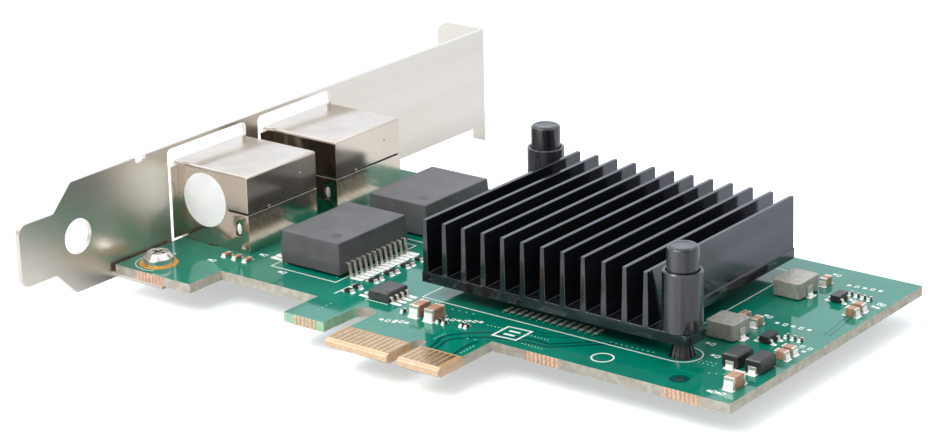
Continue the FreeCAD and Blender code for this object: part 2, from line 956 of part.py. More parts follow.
def make_label():
    """Round paper label on the outer side of the first jack."""
    body = new_body("jack_label")
    face = f"{jack_y(1)} - jack_width / 2 - label_thickness"
    disc = new_sketch(body, "XZ_Plane", face)
    circle(disc, "jack_front + label_place", f"{BOARD_TOP} + label_level", "label_diameter / 2")
    pad(body, disc, "label_thickness")


def gull_wing(body, centre, half, reach, exit_level, side, place):
    """Profile of one bent lead: out of the package, down, and along the board."""
    profile = new_sketch(body, "XZ_Plane", place)
    root = f"{centre} + {side} * ({half})"
    knee = f"{root} + {side} * ({reach}) * lead_knee"
    ankle = f"{root} + {side} * ({reach}) * lead_ankle"
    tip = f"{root} + {side} * ({reach})"
    thick = "lead_thickness"
    level = f"{BOARD_TOP} + {exit_level}"
    polygon(
        profile,
        [
            (root, level),
            (knee, level),
            (ankle, BOARD_TOP),
            (tip, BOARD_TOP),
            (tip, f"{BOARD_TOP} + {thick}"),
            (f"{ankle} + {side} * lead_lean", f"{BOARD_TOP} + {thick}"),
            (f"{knee} + {side} * lead_lean", f"{level} + {thick}"),
            (root, f"{level} + {thick}"),
        ],
    )
    return profile


def make_module(number):
    """Isolation transformers: a drafted block with twelve leads on each long side."""
    centre_x = "(module_left + module_width / 2)"
    centre_y = f"({jack_y(number)} + module_shift)"
    body = new_body(f"magnetics_{number}_body")
    for level, height, draft in (
        (f"{BOARD_TOP} + module_lead_exit", "module_height - module_lead_exit", 1),
        (f"{BOARD_TOP} + module_lead_exit", "module_lead_exit - module_base", -1),
    ):
        outline = new_sketch(body, "XY_Plane", level)
        rectangle(
            outline,
            "module_left",
            f"{centre_y} - module_length / 2",
            "module_left + module_width",
            f"{centre_y} + module_length / 2",
        )
        raised = pad(body, outline, height, downward=draft < 0)
        bind(raised, TaperAngle="-module_taper")
    leads = new_body(f"magnetics_{number}_leads")
    first = f"{centre_y} - (module_leads - 1) / 2 * module_lead_pitch"
    for side in (1, -1):
        profile = gull_wing(
            leads,
            centre_x,
            "module_width / 2",
            "module_lead_reach",
            "module_lead_exit - lead_thickness / 2",
            side,
            first,
        )
        lead = wide_pad(leads, profile, "module_lead_width")
        repeat(leads, [lead], "Y_Axis", "module_lead_pitch", "module_leads")


def make_heat_sink():
    """Extruded sink: a base with two diagonal wings and a row of tapered fins."""
    body = new_body("heat_sink")
    level = f"({BOARD_TOP} + sink_clearance)"
    base = new_sketch(body, "XY_Plane", level)
    rectangle(
        base,
        "sink_left",
        "sink_near_edge",
        "sink_left + sink_width",
        "sink_near_edge + sink_length",
    )
    pad(body, base, "sink_base")
    near_edge = "sink_near_edge"
    far_edge = "sink_near_edge + sink_length"
    right_tip = "sink_left + sink_width + pin_overhang + wing_margin"
    left_tip = "sink_left - pin_overhang - wing_margin"
    wings = (
        (SINK_X, near_edge, right_tip, f"{near_edge} + wing_length"),
        (left_tip, f"{far_edge} - wing_length", SINK_X, far_edge),
    )
    for corners in wings:
        wing = new_sketch(body, "XY_Plane", level)
        rectangle(wing, *corners)
        pad(body, wing, "sink_base")
    tips = (value(left_tip), value(right_tip))

    def wing_corner(edge):
        place = edge.CenterOfMass
        return runs_along(edge, "z") and (near(place.x, tips[0]) or near(place.x, tips[1]))

    round_edges(body, "wing_round", wing_corner)
    top = f"({BOARD_TOP} + sink_height)"
    root = f"({level} + sink_base)"
    fin = new_sketch(body, "XZ_Plane", "sink_near_edge")
    middle = "(sink_left + fin_inset + fin_root / 2)"
    polygon(
        fin,
        [
            (f"{middle} - fin_root / 2", f"{root} - fin_foot"),
            (f"{middle} + fin_root / 2", f"{root} - fin_foot"),
            (f"{middle} + fin_root / 2", root),
            (f"{middle} + fin_tip / 2", top),
            (f"{middle} - fin_tip / 2", top),
            (f"{middle} - fin_root / 2", root),
        ],
    )
    first = pad(body, fin, "sink_length")
    spacing = "(sink_width - 2 * fin_inset - fin_root) / (fins - 1)"
    repeat(body, [first], "X_Axis", spacing, "fins")
    holes = new_sketch(body, "XY_Plane", level)
    for number in (1, 2):
        circle(holes, *pin_place(number), "pin_hole / 2")
    cut_through(body, holes)


def pin_place(number):
    """Place of a push pin: the near right ear or the far left one."""
    side, other = (("+", "-"), ("-", "+"))[number - 1]
    x = f"{SINK_X} {side} (sink_width / 2 + pin_overhang)"
    y = f"{SINK_Y} {other} (sink_length / 2 - pin_inset)"
    return x, y


def make_push_pin(number):
    """Push pin: knob, shaft, a flared collar on the board and a barbed tip below it."""
    body = new_body(f"push_pin_{number}")
    move_to(body, *pin_place(number), BOARD_TOP)
    profile = new_sketch(body, "XZ_Plane")
    under = "-board_thickness"
    polygon(
        profile,
        [
            ("0", f"{under} - barb_length"),
            ("barb_tip", f"{under} - barb_length"),
            ("barb_radius", under),
            ("pin_shaft / 2", under),
            ("pin_shaft / 2", "0"),
            ("collar_radius", "0"),
            ("pin_shaft / 2", "collar_height"),
            ("pin_shaft / 2", "knob_bottom"),
            ("knob_diameter / 2", "knob_bottom"),
            ("knob_diameter / 2", "knob_top - knob_bevel"),
            ("knob_diameter / 2 - knob_bevel", "knob_top"),
            ("0", "knob_top"),
        ],
    )
    turn(body, profile)


def make_sleeve(number):
    """Sleeve round a push pin: it stands on the ear and hides the spring."""
    body = new_body(f"push_pin_sleeve_{number}")
    move_to(body, *pin_place(number), f"{BOARD_TOP} + sink_clearance + sink_base")
    profile = new_sketch(body, "XZ_Plane")
    height = "(sleeve_top - sink_clearance - sink_base)"
    bore = "knob_diameter / 2 + running_gap"
    shaft = "pin_shaft / 2 + running_gap"
    polygon(
        profile,
        [
            (shaft, "0"),
            ("sleeve_diameter / 2", "0"),
            ("sleeve_diameter / 2", f"{height}"),
            (bore, f"{height}"),
            (bore, "sleeve_floor"),
            (shaft, "sleeve_floor"),
        ],
    )
    turn(body, profile)


def make_controller():
    """Controller package: a carrier with a smaller lid, centred under the sink."""
    body = new_body("controller_chip")
    for side, base, height in (
        ("chip_side", BOARD_TOP, "chip_carrier"),
        ("chip_lid_side", f"{BOARD_TOP} + chip_carrier", "chip_height - chip_carrier"),
    ):
        outline = new_sketch(body, "XY_Plane", base)
        rectangle(
            outline,
            f"{SINK_X} - {side} / 2",
            f"{SINK_Y} - {side} / 2",
            f"{SINK_X} + {side} / 2",
            f"{SINK_Y} + {side} / 2",
        )
        pad(body, outline, height)
    pad_block = block(
        "thermal_sheet",
        SINK_X,
        SINK_Y,
        f"{BOARD_TOP} + chip_height",
        "chip_lid_side",
        "chip_lid_side",
        "sink_clearance - chip_height",
    )
    pad_block.Label = "thermal_pad"
    parts["thermal_pad"] = pad_block


def make_land_row():
    """Row of bare tinned lands in front of the controller."""
    body = new_body("land_row")
    strip = new_sketch(body, "XY_Plane", BOARD_TOP)
    left = "land_row_start - land_width / 2"
    rectangle(strip, left, "land_row_near", f"{left} + land_width", "land_row_near + land_length")
    land = pad(body, strip, "land_skin")
    repeat(body, [land], "X_Axis", "land_row_pitch", "land_row_count")


def make_memory():
    """Eight-lead memory chip."""
    body = new_body("memory_body")
    outline = new_sketch(body, "XY_Plane", f"{BOARD_TOP} + lead_thickness / 2")
    rectangle(
        outline,
        "memory_x - memory_width / 2",
        "memory_y - memory_length / 2",
        "memory_x + memory_width / 2",
        "memory_y + memory_length / 2",
    )
    pad(body, outline, "memory_height - lead_thickness / 2")
    high = value(f"{BOARD_TOP} + memory_height")
    bevel_edges(body, "memory_bevel", lambda edge: near(edge.CenterOfMass.z, high))
    leads = new_body("memory_leads")
    first = "memory_y - (memory_leads - 1) / 2 * memory_lead_pitch"
    for side in (1, -1):
        profile = gull_wing(
            leads,
            "memory_x",
            "memory_width / 2",
            "memory_lead_reach",
            "memory_lead_exit",
            side,
            first,
        )
        lead = wide_pad(leads, profile, "memory_lead_width")
        repeat(leads, [lead], "Y_Axis", "memory_lead_pitch", "memory_leads")


def make_inductor(number):
    """Moulded power inductor with a folded terminal at each end."""
    name = f"inductor_{number}"
    body = new_body(f"{name}_core")
    level = f"{BOARD_TOP} + terminal_skin"
    outline = new_sketch(body, "XY_Plane", level)
    rectangle(
        outline,
        f"{name}_x - {name}_width / 2",
        f"{name}_y - {name}_length / 2",
        f"{name}_x + {name}_width / 2",
        f"{name}_y + {name}_length / 2",
    )
    pad(body, outline, "inductor_height - terminal_skin")
    bevel_edges(body, "inductor_bevel", lambda edge: runs_along(edge, "z"))
    terminals = new_body(f"{name}_terminals")
    for side in (1, -1):
        strap = new_sketch(terminals, "XZ_Plane", f"{name}_y")
        face = f"({name}_x + {side} * {name}_width / 2)"
        polygon(
            strap,
            [
                (f"{face} - {side} * terminal_foot", BOARD_TOP),
                (f"{face} + {side} * terminal_skin", BOARD_TOP),
                (f"{face} + {side} * terminal_skin", f"{BOARD_TOP} + terminal_height"),
                (face, f"{BOARD_TOP} + terminal_height"),
                (face, level),
                (f"{face} - {side} * terminal_foot", level),
            ],
        )
        wide_pad(terminals, strap, "terminal_width")


def make_diode(number):
    """Rectifier diode: a bevelled block with a strap folded under each end."""
    name = f"diode_{number}"
    body = new_body(f"{name}_body")
    level = f"{BOARD_TOP} + terminal_skin"
    outline = new_sketch(body, "XY_Plane", level)
    rectangle(
        outline,
        f"{name}_x - diode_width / 2",
        f"{name}_y - diode_length / 2",
        f"{name}_x + diode_width / 2",
        f"{name}_y + diode_length / 2",
    )
    pad(body, outline, "diode_height - terminal_skin")
    high = value(f"{BOARD_TOP} + diode_height")
    bevel_edges(body, "diode_bevel", lambda edge: near(edge.CenterOfMass.z, high))
    straps = new_body(f"{name}_straps")
    for side in (1, -1):
        strap = new_sketch(straps, "YZ_Plane", f"{name}_x")
        face = f"({name}_y + {side} * diode_length / 2)"
        polygon(
            strap,
            [
                (f"{face} - {side} * diode_foot", BOARD_TOP),
                (f"{face} + {side} * terminal_skin", BOARD_TOP),
                (f"{face} + {side} * terminal_skin", f"{BOARD_TOP} + diode_strap_height"),
                (face, f"{BOARD_TOP} + diode_strap_height"),
                (face, level),
                (f"{face} - {side} * diode_foot", level),
            ],
        )
        wide_pad(straps, strap, "diode_strap")


def make_regulator(number):
    """Five-lead regulator: three leads on one long side, two on the other."""
    name = f"regulator_{number}"
    body = new_body(f"{name}_body")
    outline = new_sketch(body, "XY_Plane", f"{BOARD_TOP} + lead_thickness / 2")
    rectangle(
        outline,
        f"{name}_x - regulator_width / 2",
        f"{name}_y - regulator_length / 2",
        f"{name}_x + regulator_width / 2",
        f"{name}_y + regulator_length / 2",
    )
    pad(body, outline, "regulator_height - lead_thickness / 2")
    leads = new_body(f"{name}_leads")
    rows = ((-1, "regulator_lead_pitch", "3"), (1, "2 * regulator_lead_pitch", "2"))
    for side, spacing, count in rows:
        profile = gull_wing(
            leads,
            f"{name}_x",
            "regulator_width / 2",
            "regulator_lead_reach",
            "regulator_lead_exit",
            side,
            f"{name}_y - regulator_lead_pitch",
        )
        lead = wide_pad(leads, profile, "regulator_lead_width")
        repeat(leads, [lead], "Y_Axis", spacing, count)


def make_chips(label, size, places):
    """Two-ended chips of one case size: one node of bodies and one of metal ends."""
    bodies = []
    ends = []
    for number, (axis, x, y) in enumerate(places, start=1):
        body_span = f"{size}_length - 2 * {size}_end"
        spans = (body_span, f"{size}_width") if axis == "X" else (f"{size}_width", body_span)
        bodies.append(block(f"{label}_{number}", x, y, BOARD_TOP, *spans, f"{size}_height"))
        for side in (1, -1):
            shift = f"{side} * ({size}_length - {size}_end) / 2"
            end_x = f"{x} + {shift}" if axis == "X" else x
            end_y = f"{y} + {shift}" if axis == "Y" else y
            spans = (f"{size}_end", f"{size}_width")
            spans = spans if axis == "X" else spans[::-1]
            name = f"{label}_{number}_end"
            ends.append(block(name, end_x, end_y, BOARD_TOP, *spans, f"{size}_height"))
    gather(f"{label}_bodies", bodies)
    gather(f"{label}_ends", ends)


def check_document():
    """Stops if any object failed or any shape is empty or invalid."""
    for item in doc.Objects:
        if {"Invalid", "Error"} & set(item.State):
            raise RuntimeError(f"{item.Name} failed: {item.State}")
    for label, item in parts.items():
        if item.Shape.isNull() or not item.Shape.isValid():
            raise RuntimeError(f"{label} has no valid shape")


def write_parts():
    """Writes each sub-part to its own file, named after its label."""
    os.makedirs("parts", exist_ok=True)
    for label, item in parts.items():
        item.Shape.exportStep(f"parts/{label}.step")


make_board()
make_fingers()
make_screw_lands()
make_bracket()
make_screws()
for jack in (1, 2):
    make_shield(jack)
    make_housing(jack)
    make_lights(jack)
    make_wires(jack)
    make_tails(jack)
make_label()
for module in (1, 2):
    make_module(module)
make_heat_sink()
for pin in (1, 2):
    make_push_pin(pin)
    make_sleeve(pin)
make_controller()
make_land_row()
make_memory()
for pair in (1, 2):
    make_inductor(pair)
    make_diode(pair)
    make_regulator(pair)
make_chips("bulk_capacitor", "bulk", BULK_CHIPS)
make_chips("bypass_capacitor", "bypass", BYPASS_CHIPS)
make_chips("resistor", "resistor", RESISTOR_CHIPS)
make_chips("mini_chip", "mini", MINI_CHIPS)
doc.recompute()
check_document()
write_parts()
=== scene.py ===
"""Looks of a dual-port network interface card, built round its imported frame.

X runs along the board away from the bracket, Y from the gold fingers to the far edge, and Z up
from the component side. Sizes are in millimetres until a mesh is written.
"""

import logging
import math
from dataclasses import dataclass
from enum import Enum
from typing import Callable, Mapping, Sequence

import bmesh
import bpy
from mathutils import Matrix, Vector


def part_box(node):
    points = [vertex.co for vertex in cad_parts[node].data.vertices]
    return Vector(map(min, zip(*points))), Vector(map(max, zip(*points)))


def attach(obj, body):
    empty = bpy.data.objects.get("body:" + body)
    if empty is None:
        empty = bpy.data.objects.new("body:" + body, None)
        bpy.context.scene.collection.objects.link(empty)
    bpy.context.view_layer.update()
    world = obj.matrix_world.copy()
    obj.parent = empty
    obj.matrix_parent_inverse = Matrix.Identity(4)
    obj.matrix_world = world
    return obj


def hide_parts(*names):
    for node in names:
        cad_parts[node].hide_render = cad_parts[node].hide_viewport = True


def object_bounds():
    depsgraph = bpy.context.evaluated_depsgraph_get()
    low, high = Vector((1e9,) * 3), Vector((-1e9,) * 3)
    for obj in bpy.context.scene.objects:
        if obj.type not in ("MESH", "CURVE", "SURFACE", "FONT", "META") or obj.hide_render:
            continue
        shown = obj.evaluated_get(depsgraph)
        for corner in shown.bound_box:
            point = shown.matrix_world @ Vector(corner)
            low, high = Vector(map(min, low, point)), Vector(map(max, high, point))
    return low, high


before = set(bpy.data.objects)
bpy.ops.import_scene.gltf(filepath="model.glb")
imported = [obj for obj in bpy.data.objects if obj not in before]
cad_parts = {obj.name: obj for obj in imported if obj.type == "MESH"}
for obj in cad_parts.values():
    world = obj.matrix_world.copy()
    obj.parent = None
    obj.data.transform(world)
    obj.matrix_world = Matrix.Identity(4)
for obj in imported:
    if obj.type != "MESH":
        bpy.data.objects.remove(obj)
CAD_BOX = [list(corner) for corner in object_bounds()]

MM = 0.001
BODY = "root"
BOARD_TOP = 0.785
LOG = logging.getLogger("network_card")

Point = tuple[float, float]
Place = tuple[float, float, float]
Colour = tuple[float, float, float]
Sizes = tuple[float, float, float]
Area = tuple[float, float, float, float]
Box = tuple[Vector, Vector]
Line = tuple[Sequence[Point], float, bool]


class Streak(Enum):
    """Direction of the rolling or brushing lines in a surface, and of the push pins' painted
    reflection streaks.
    """

    NONE = (1.0, 1.0, 1.0)
    ALONG_Y = (1.0, 0.04, 1.0)
    ALONG_Z = (1.0, 1.0, 0.04)


class Effect(Enum):
    """Names of the shared shader groups."""

    GRAIN = "fine_grain"
    HANDLING = "handling"
    PATCHES = "colour_patches"
    LAYERS = "cloth_layers"


class Zone(Enum):
    """Material number of each kind of face on the board."""

    MASKED = 0
    CUT = 1
    BARE = 2
    NOSE = 3
    STAINED = 4
    BROWN = 5


# ---------------------------------------------------------------- shared shader groups


def add_node(
    tree: bpy.types.NodeTree, kind: str, inputs: Mapping[int | str, object], **settings: str
) -> bpy.types.Node:
    """Adds a shader node and feeds its inputs.

    Args:
        tree: The tree that gets it.
        kind: The node's type, without its ShaderNode prefix.
        inputs: A value, or the output to link, for each input.
        settings: The node's own options, such as its operation.

    Returns:
        The new node.
    """
    node = tree.nodes.new(f"ShaderNode{kind}")
    for name, given in settings.items():
        setattr(node, name, given)
    for name, given in inputs.items():
        if isinstance(given, bpy.types.NodeSocket):
            tree.links.new(given, node.inputs[name])
        else:
            node.inputs[name].default_value = given
    return node


def two_tones(
    tree: bpy.types.NodeTree,
    mask: bpy.types.NodeSocket,
    span: Point,
    dark: object,
    light: object,
) -> bpy.types.NodeSocket:
    """Makes a colour that goes from dark to light as a mask crosses a span.

    Args:
        tree: The tree that gets the nodes.
        mask: The output that holds the mask.
        span: The mask's values at the dark and at the light end.
        dark: The dark colour, or the output to link.
        light: The light colour, or the output to link.

    Returns:
        The colour's output.
    """
    share = add_node(tree, "MapRange", {"Value": mask, "From Min": span[0], "From Max": span[1]})
    inputs = {"Factor": share.outputs["Result"], 6: dark, 7: light}
    return add_node(tree, "Mix", inputs, data_type="RGBA").outputs[2]


def start_group(
    effect: Effect, inputs: Mapping[str, object], output: str, kind: str = "Float"
) -> tuple[bpy.types.NodeTree, bpy.types.Node, bpy.types.NodeSocket]:
    """Starts a shader group with its sockets.

    Args:
        effect: The effect that the group holds.
        inputs: Each input's value where nothing is set: a number, a vector or a colour.
        output: Name of its one output.
        kind: Whether the output is a Float or a Color.

    Returns:
        The group's tree, its input node and the socket that feeds its output.
    """
    kinds = {1: "Float", 3: "Vector", 4: "Color"}
    tree = bpy.data.node_groups.new(effect.value, "ShaderNodeTree")
    for name, given in inputs.items():
        width = 1 if isinstance(given, float) else len(given)
        socket = tree.interface.new_socket(
            name=name, in_out="INPUT", socket_type=f"NodeSocket{kinds[width]}"
        )
        socket.default_value = given
    tree.interface.new_socket(name=output, in_out="OUTPUT", socket_type=f"NodeSocket{kind}")
    sink = tree.nodes.new("NodeGroupOutput")
    return tree, tree.nodes.new("NodeGroupInput"), sink.inputs[output]


def stretched_noise(
    tree: bpy.types.NodeTree, source: bpy.types.Node, detail: float
) -> bpy.types.NodeSocket:
    """Adds noise in object space whose size and stretch come from the group's inputs.

    Args:
        tree: The tree that gets the nodes.
        source: The group's input node, with Size and Stretch sockets.
        detail: Octaves of the noise.

    Returns:
        The noise's output.
    """
    place = add_node(tree, "TexCoord", {}).outputs["Object"]
    scaled = add_node(
        tree, "VectorMath", {0: place, 1: source.outputs["Stretch"]}, operation="MULTIPLY"
    )
    scale = add_node(tree, "Math", {0: 1 / MM, 1: source.outputs["Size"]}, operation="DIVIDE")
    inputs = {"Detail": detail, "Vector": scaled.outputs[0], "Scale": scale.outputs[0]}
    return add_node(tree, "TexNoise", inputs).outputs["Fac"]


def make_grain_group() -> None:
    """Builds the fine surface grain that a Bump node reads."""
    inputs = {"Size": 0.2, "Stretch": Streak.NONE.value}
    tree, source, height = start_group(Effect.GRAIN, inputs, "Height")
    tree.links.new(stretched_noise(tree, source, 3.0), height)


def make_handling_group() -> None:
    """Builds the slow change of gloss that handling and dust leave."""
    inputs = {"Size": 6.0, "Stretch": Streak.NONE.value, "Smooth": 0.2, "Rough": 0.4}
    tree, source, roughness = start_group(Effect.HANDLING, inputs, "Roughness")
    span = add_node(tree, "MapRange", {
        "Value": stretched_noise(tree, source, 4.0),
        "From Min": 0.3,
        "From Max": 0.7,
        "To Min": source.outputs["Smooth"],
        "To Max": source.outputs["Rough"],
    })
    tree.links.new(span.outputs["Result"], roughness)


def make_patches_group() -> None:
    """Builds the soft change between two tones of one colour."""
    inputs = {
        "Size": 4.0,
        "Stretch": Streak.NONE.value,
        "Light": (0.5, 0.5, 0.5, 1.0),
        "Dark": (0.4, 0.4, 0.4, 1.0),
    }
    tree, source, colour = start_group(Effect.PATCHES, inputs, "Color", "Color")
    noise = stretched_noise(tree, source, 5.0)
    tones = two_tones(
        tree, noise, (0.35, 0.65), source.outputs["Dark"], source.outputs["Light"]
    )
    tree.links.new(tones, colour)


def make_layers_group() -> None:
    """Builds the glass-cloth layers that a cut board edge shows."""
    wave_share = 0.22
    speckles_per_metre = 900.0
    tree, source, mask = start_group(Effect.LAYERS, {"Pitch": 0.2}, "Mask")
    place = add_node(tree, "TexCoord", {}).outputs["Object"]
    level = add_node(tree, "SeparateXYZ", {0: place}).outputs["Z"]
    layer = add_node(tree, "Math", {0: level, 1: source.outputs["Pitch"]}, operation="DIVIDE")
    turns = add_node(tree, "Math", {0: layer.outputs[0], 1: math.tau / MM}, operation="MULTIPLY")
    wave = add_node(tree, "Math", {0: turns.outputs[0]}, operation="SINE")
    speckles = add_node(
        tree, "TexNoise", {"Scale": speckles_per_metre, "Detail": 6.0, "Vector": place}
    )
    inputs = {0: wave.outputs[0], 1: wave_share, 2: speckles.outputs["Fac"]}
    both = add_node(tree, "Math", inputs, operation="MULTIPLY_ADD")
    tree.links.new(both.outputs[0], mask)


# ---------------------------------------------------------------- finishes


@dataclass(frozen=True)
class Finish:
    """One surface finish: two tones, a range of gloss and a fine grain."""

    name: str
    light: Colour
    dark: Colour
    smooth: float
    rough: float
    metallic: float = 0.0
    ior: float = 1.5
    patch: float = 5.0
    grain: float = 0.25
    depth: float = 0.004
    streak: Streak = Streak.NONE
    transmission: float = 0.0

    def group(
        self, tree: bpy.types.NodeTree, effect: Effect, **values: object
    ) -> bpy.types.NodeSocket:
        """Places a shared group in the material.

        Args:
            tree: The material's tree.
            effect: The group to place.
            values: Its inputs' values.

        Returns:
            The group's output.
        """
        node = tree.nodes.new("ShaderNodeGroup")
        node.node_tree = bpy.data.node_groups[effect.value]
        for name, given in values.items():
            node.inputs[name].default_value = given
        return node.outputs[0]

    def tint(self, tree: bpy.types.NodeTree) -> bpy.types.NodeSocket:
        """Gives the socket that the base colour reads."""
        return self.group(
            tree,
            Effect.PATCHES,
            Size=self.patch,
            Stretch=self.streak.value,
            Light=(*self.light, 1.0),
            Dark=(*self.dark, 1.0),
        )

    def material(self) -> bpy.types.Material:
        """Builds the material once.

        Returns:
            The new material, or the one of that name where it exists.
        """
        made = bpy.data.materials.get(self.name)
        if made:
            return made
        made = bpy.data.materials.new(self.name)
        made.use_nodes = True
        tree = made.node_tree
        shader = tree.nodes["Principled BSDF"]
        gloss = self.group(
            tree,
            Effect.HANDLING,
            Size=self.patch * 2,
            Stretch=self.streak.value,
            Smooth=self.smooth,
            Rough=self.rough,
        )
        grain = self.group(tree, Effect.GRAIN, Size=self.grain, Stretch=self.streak.value)
        bump = add_node(
            tree, "Bump", {"Strength": 1.0, "Distance": self.depth * MM, "Height": grain}
        )
        tree.links.new(self.tint(tree), shader.inputs["Base Color"])
        tree.links.new(gloss, shader.inputs["Roughness"])
        tree.links.new(bump.outputs["Normal"], shader.inputs["Normal"])
        shader.inputs["Metallic"].default_value = self.metallic
        shader.inputs["IOR"].default_value = self.ior
        shader.inputs["Transmission Weight"].default_value = self.transmission
        return made


@dataclass(frozen=True)
class CutLaminate(Finish):
    """The cut edge of a glass-cloth board, with its layers showing."""

    pitch: float = 0.21

    def tint(self, tree: bpy.types.NodeTree) -> bpy.types.NodeSocket:
        """Gives the socket that the base colour reads."""
        layers = self.group(tree, Effect.LAYERS, Pitch=self.pitch)
        return two_tones(tree, layers, (0.3, 0.75), (*self.dark, 1.0), (*self.light, 1.0))


MASK = Finish("solder_mask", (0.001, 0.180, 0.118), (0.001, 0.150, 0.098), 0.05, 0.10, ior=1.53,
              patch=9.0, grain=1.6, depth=0.003)
MASKED_TRACK = Finish("solder_mask_over_gap", (0.001, 0.070, 0.062), (0.001, 0.058, 0.052), 0.08,
                      0.14, ior=1.52, patch=4.0, grain=1.6, depth=0.012)
MASKED_COPPER = Finish("solder_mask_over_copper", (0.004, 0.215, 0.125), (0.003, 0.185, 0.110),
                       0.07, 0.12, ior=1.52, patch=4.0, grain=1.6, depth=0.012)
LAMINATE_EDGE = CutLaminate("laminate_edge", (0.58, 0.55, 0.47), (0.33, 0.305, 0.245), 0.5, 0.75,
                            grain=0.12, depth=0.05)
STAINED_EDGE = CutLaminate("stained_edge", (0.40, 0.60, 0.42), (0.20, 0.42, 0.28), 0.35, 0.6,
                           grain=0.12, depth=0.04)
BROWN_EDGE = CutLaminate("brown_edge", (0.30, 0.16, 0.10), (0.20, 0.11, 0.07), 0.4, 0.6,
                         grain=0.12, depth=0.05)
BARE_LAMINATE = Finish("bare_laminate", (0.46, 0.26, 0.11), (0.38, 0.20, 0.08), 0.45, 0.6,
                       ior=1.4, patch=2.0, grain=0.3, depth=0.01)
NOSE_LAMINATE = CutLaminate("bevelled_nose", (0.74, 0.54, 0.36), (0.56, 0.36, 0.21), 0.3, 0.5,
                            grain=0.15, depth=0.02, pitch=0.33)
GOLD = Finish("contact_gold", (0.60, 0.47, 0.31), (0.50, 0.375, 0.225), 0.20, 0.30, metallic=1.0,
              patch=1.5, grain=0.12, depth=0.002)
COPPER = Finish("ring_copper", (0.92, 0.50, 0.11), (0.78, 0.38, 0.07), 0.22, 0.34, metallic=0.6,
                patch=1.2, grain=0.15, depth=0.006)
COMB_COPPER = Finish("cut_copper", (0.86, 0.56, 0.38), (0.66, 0.37, 0.22), 0.3, 0.5,
                     metallic=0.3, patch=0.5, grain=0.12, depth=0.02)
VIA_FILL = Finish("filled_via", (0.44, 0.62, 0.53), (0.34, 0.52, 0.43), 0.3, 0.45, patch=0.5,
                  grain=0.2, depth=0.004)
LEVELLED_TIN = Finish("levelled_tin", (0.78, 0.77, 0.71), (0.66, 0.65, 0.59), 0.35, 0.5,
                      patch=0.6, grain=0.2, depth=0.01)
TIN = Finish("bright_tin", (0.80, 0.75, 0.66), (0.62, 0.57, 0.49), 0.24, 0.38, metallic=0.7,
             patch=0.8, grain=0.2, depth=0.005)
BRIGHT_LEADS = Finish("bright_leads", (0.90, 0.85, 0.77), (0.74, 0.69, 0.61), 0.22, 0.36,
                      metallic=0.3, patch=0.8, grain=0.2, depth=0.005)
SOLDER = Finish("solder", (0.94, 0.93, 0.90), (0.84, 0.83, 0.80), 0.18, 0.32, metallic=0.25,
                patch=0.8, grain=0.35, depth=0.006)
NICKEL = Finish("nickel_plate", (0.77, 0.725, 0.66), (0.69, 0.645, 0.58), 0.27, 0.36, metallic=1.0,
                patch=9.0, grain=0.10, depth=0.0004, streak=Streak.ALONG_Y)
SHELL = Finish("tinned_shell", (0.68, 0.60, 0.52), (0.59, 0.52, 0.445), 0.12, 0.20, metallic=1.0,
               patch=7.0, grain=0.12, depth=0.0004, streak=Streak.ALONG_Z)
SCREW_STEEL = Finish("screw_steel", (0.88, 0.86, 0.84), (0.74, 0.72, 0.70), 0.08, 0.18,
                     metallic=1.0, patch=1.0, grain=0.3, depth=0.004)
ANODISED = Finish("black_anodising", (0.100, 0.104, 0.115), (0.062, 0.065, 0.074), 0.06, 0.15,
                  metallic=0.9, patch=6.0, grain=0.08, depth=0.0008, streak=Streak.ALONG_Y)
# Black nylon for the push pins, flutes and sleeves. Its own colour is near black, and the light and
# dark tones laid in vertical streaks along Z are painted reflections.
PIN_NYLON_PAINTED_STREAKS = Finish("black_nylon_painted_reflections", (0.060, 0.062, 0.068), (0.004, 0.004, 0.006), 0.05, 0.15,
                   ior=1.6, patch=1.7, grain=0.5, depth=0.004, streak=Streak.ALONG_Z)
MOULDING = Finish("module_moulding", (0.100, 0.097, 0.102), (0.078, 0.075, 0.080), 0.42, 0.58,
                  patch=3.0, grain=0.10, depth=0.008)
CHIP_MOULDING = Finish("chip_moulding", (0.026, 0.025, 0.027), (0.018, 0.017, 0.019), 0.28, 0.42,
                       patch=1.2, grain=0.08, depth=0.006)
MEMORY_MOULDING = Finish("memory_moulding", (0.062, 0.060, 0.060), (0.040, 0.038, 0.040), 0.34,
                         0.5, patch=0.9, grain=0.08, depth=0.008)
JACK_NYLON = Finish("jack_nylon", (0.018, 0.018, 0.019), (0.012, 0.012, 0.013), 0.25, 0.4,
                    patch=2.0, grain=0.2, depth=0.006)
LIGHT_BAR = Finish("clear_bar", (0.85, 0.88, 0.84), (0.78, 0.82, 0.77), 0.10, 0.2, patch=2.0,
                   transmission=0.5)
LABEL = Finish("label_paper", (0.88, 0.88, 0.87), (0.82, 0.82, 0.81), 0.45, 0.6, patch=2.5,
               grain=0.1, depth=0.006)
INK = Finish("white_ink", (0.80, 0.82, 0.78), (0.70, 0.73, 0.69), 0.35, 0.5, patch=0.6,
             grain=0.15, depth=0.01)
FERRITE = Finish("inductor_moulding", (0.44, 0.42, 0.37), (0.32, 0.30, 0.26), 0.32, 0.46,
                 patch=0.7, grain=0.12, depth=0.010, metallic=0.2)
CERAMIC = Finish("capacitor_ceramic", (0.46, 0.25, 0.16), (0.33, 0.17, 0.10), 0.26, 0.40,
                 patch=0.8, grain=0.12, depth=0.006)
LATCH_NYLON = Finish("latch_nylon", (0.90, 0.89, 0.84), (0.80, 0.79, 0.74), 0.2, 0.35, patch=0.8,
                     grain=0.2, depth=0.005)
RESISTOR_GLAZE = Finish("resistor_glaze", (0.020, 0.020, 0.022), (0.012, 0.012, 0.013), 0.2,
                        0.32, patch=0.8, grain=0.2, depth=0.006)
THERMAL = Finish("thermal_sheet", (0.30, 0.31, 0.33), (0.24, 0.25, 0.27), 0.6, 0.8, patch=2.0,
                 grain=0.2, depth=0.01)


# ---------------------------------------------------------------- shape tools


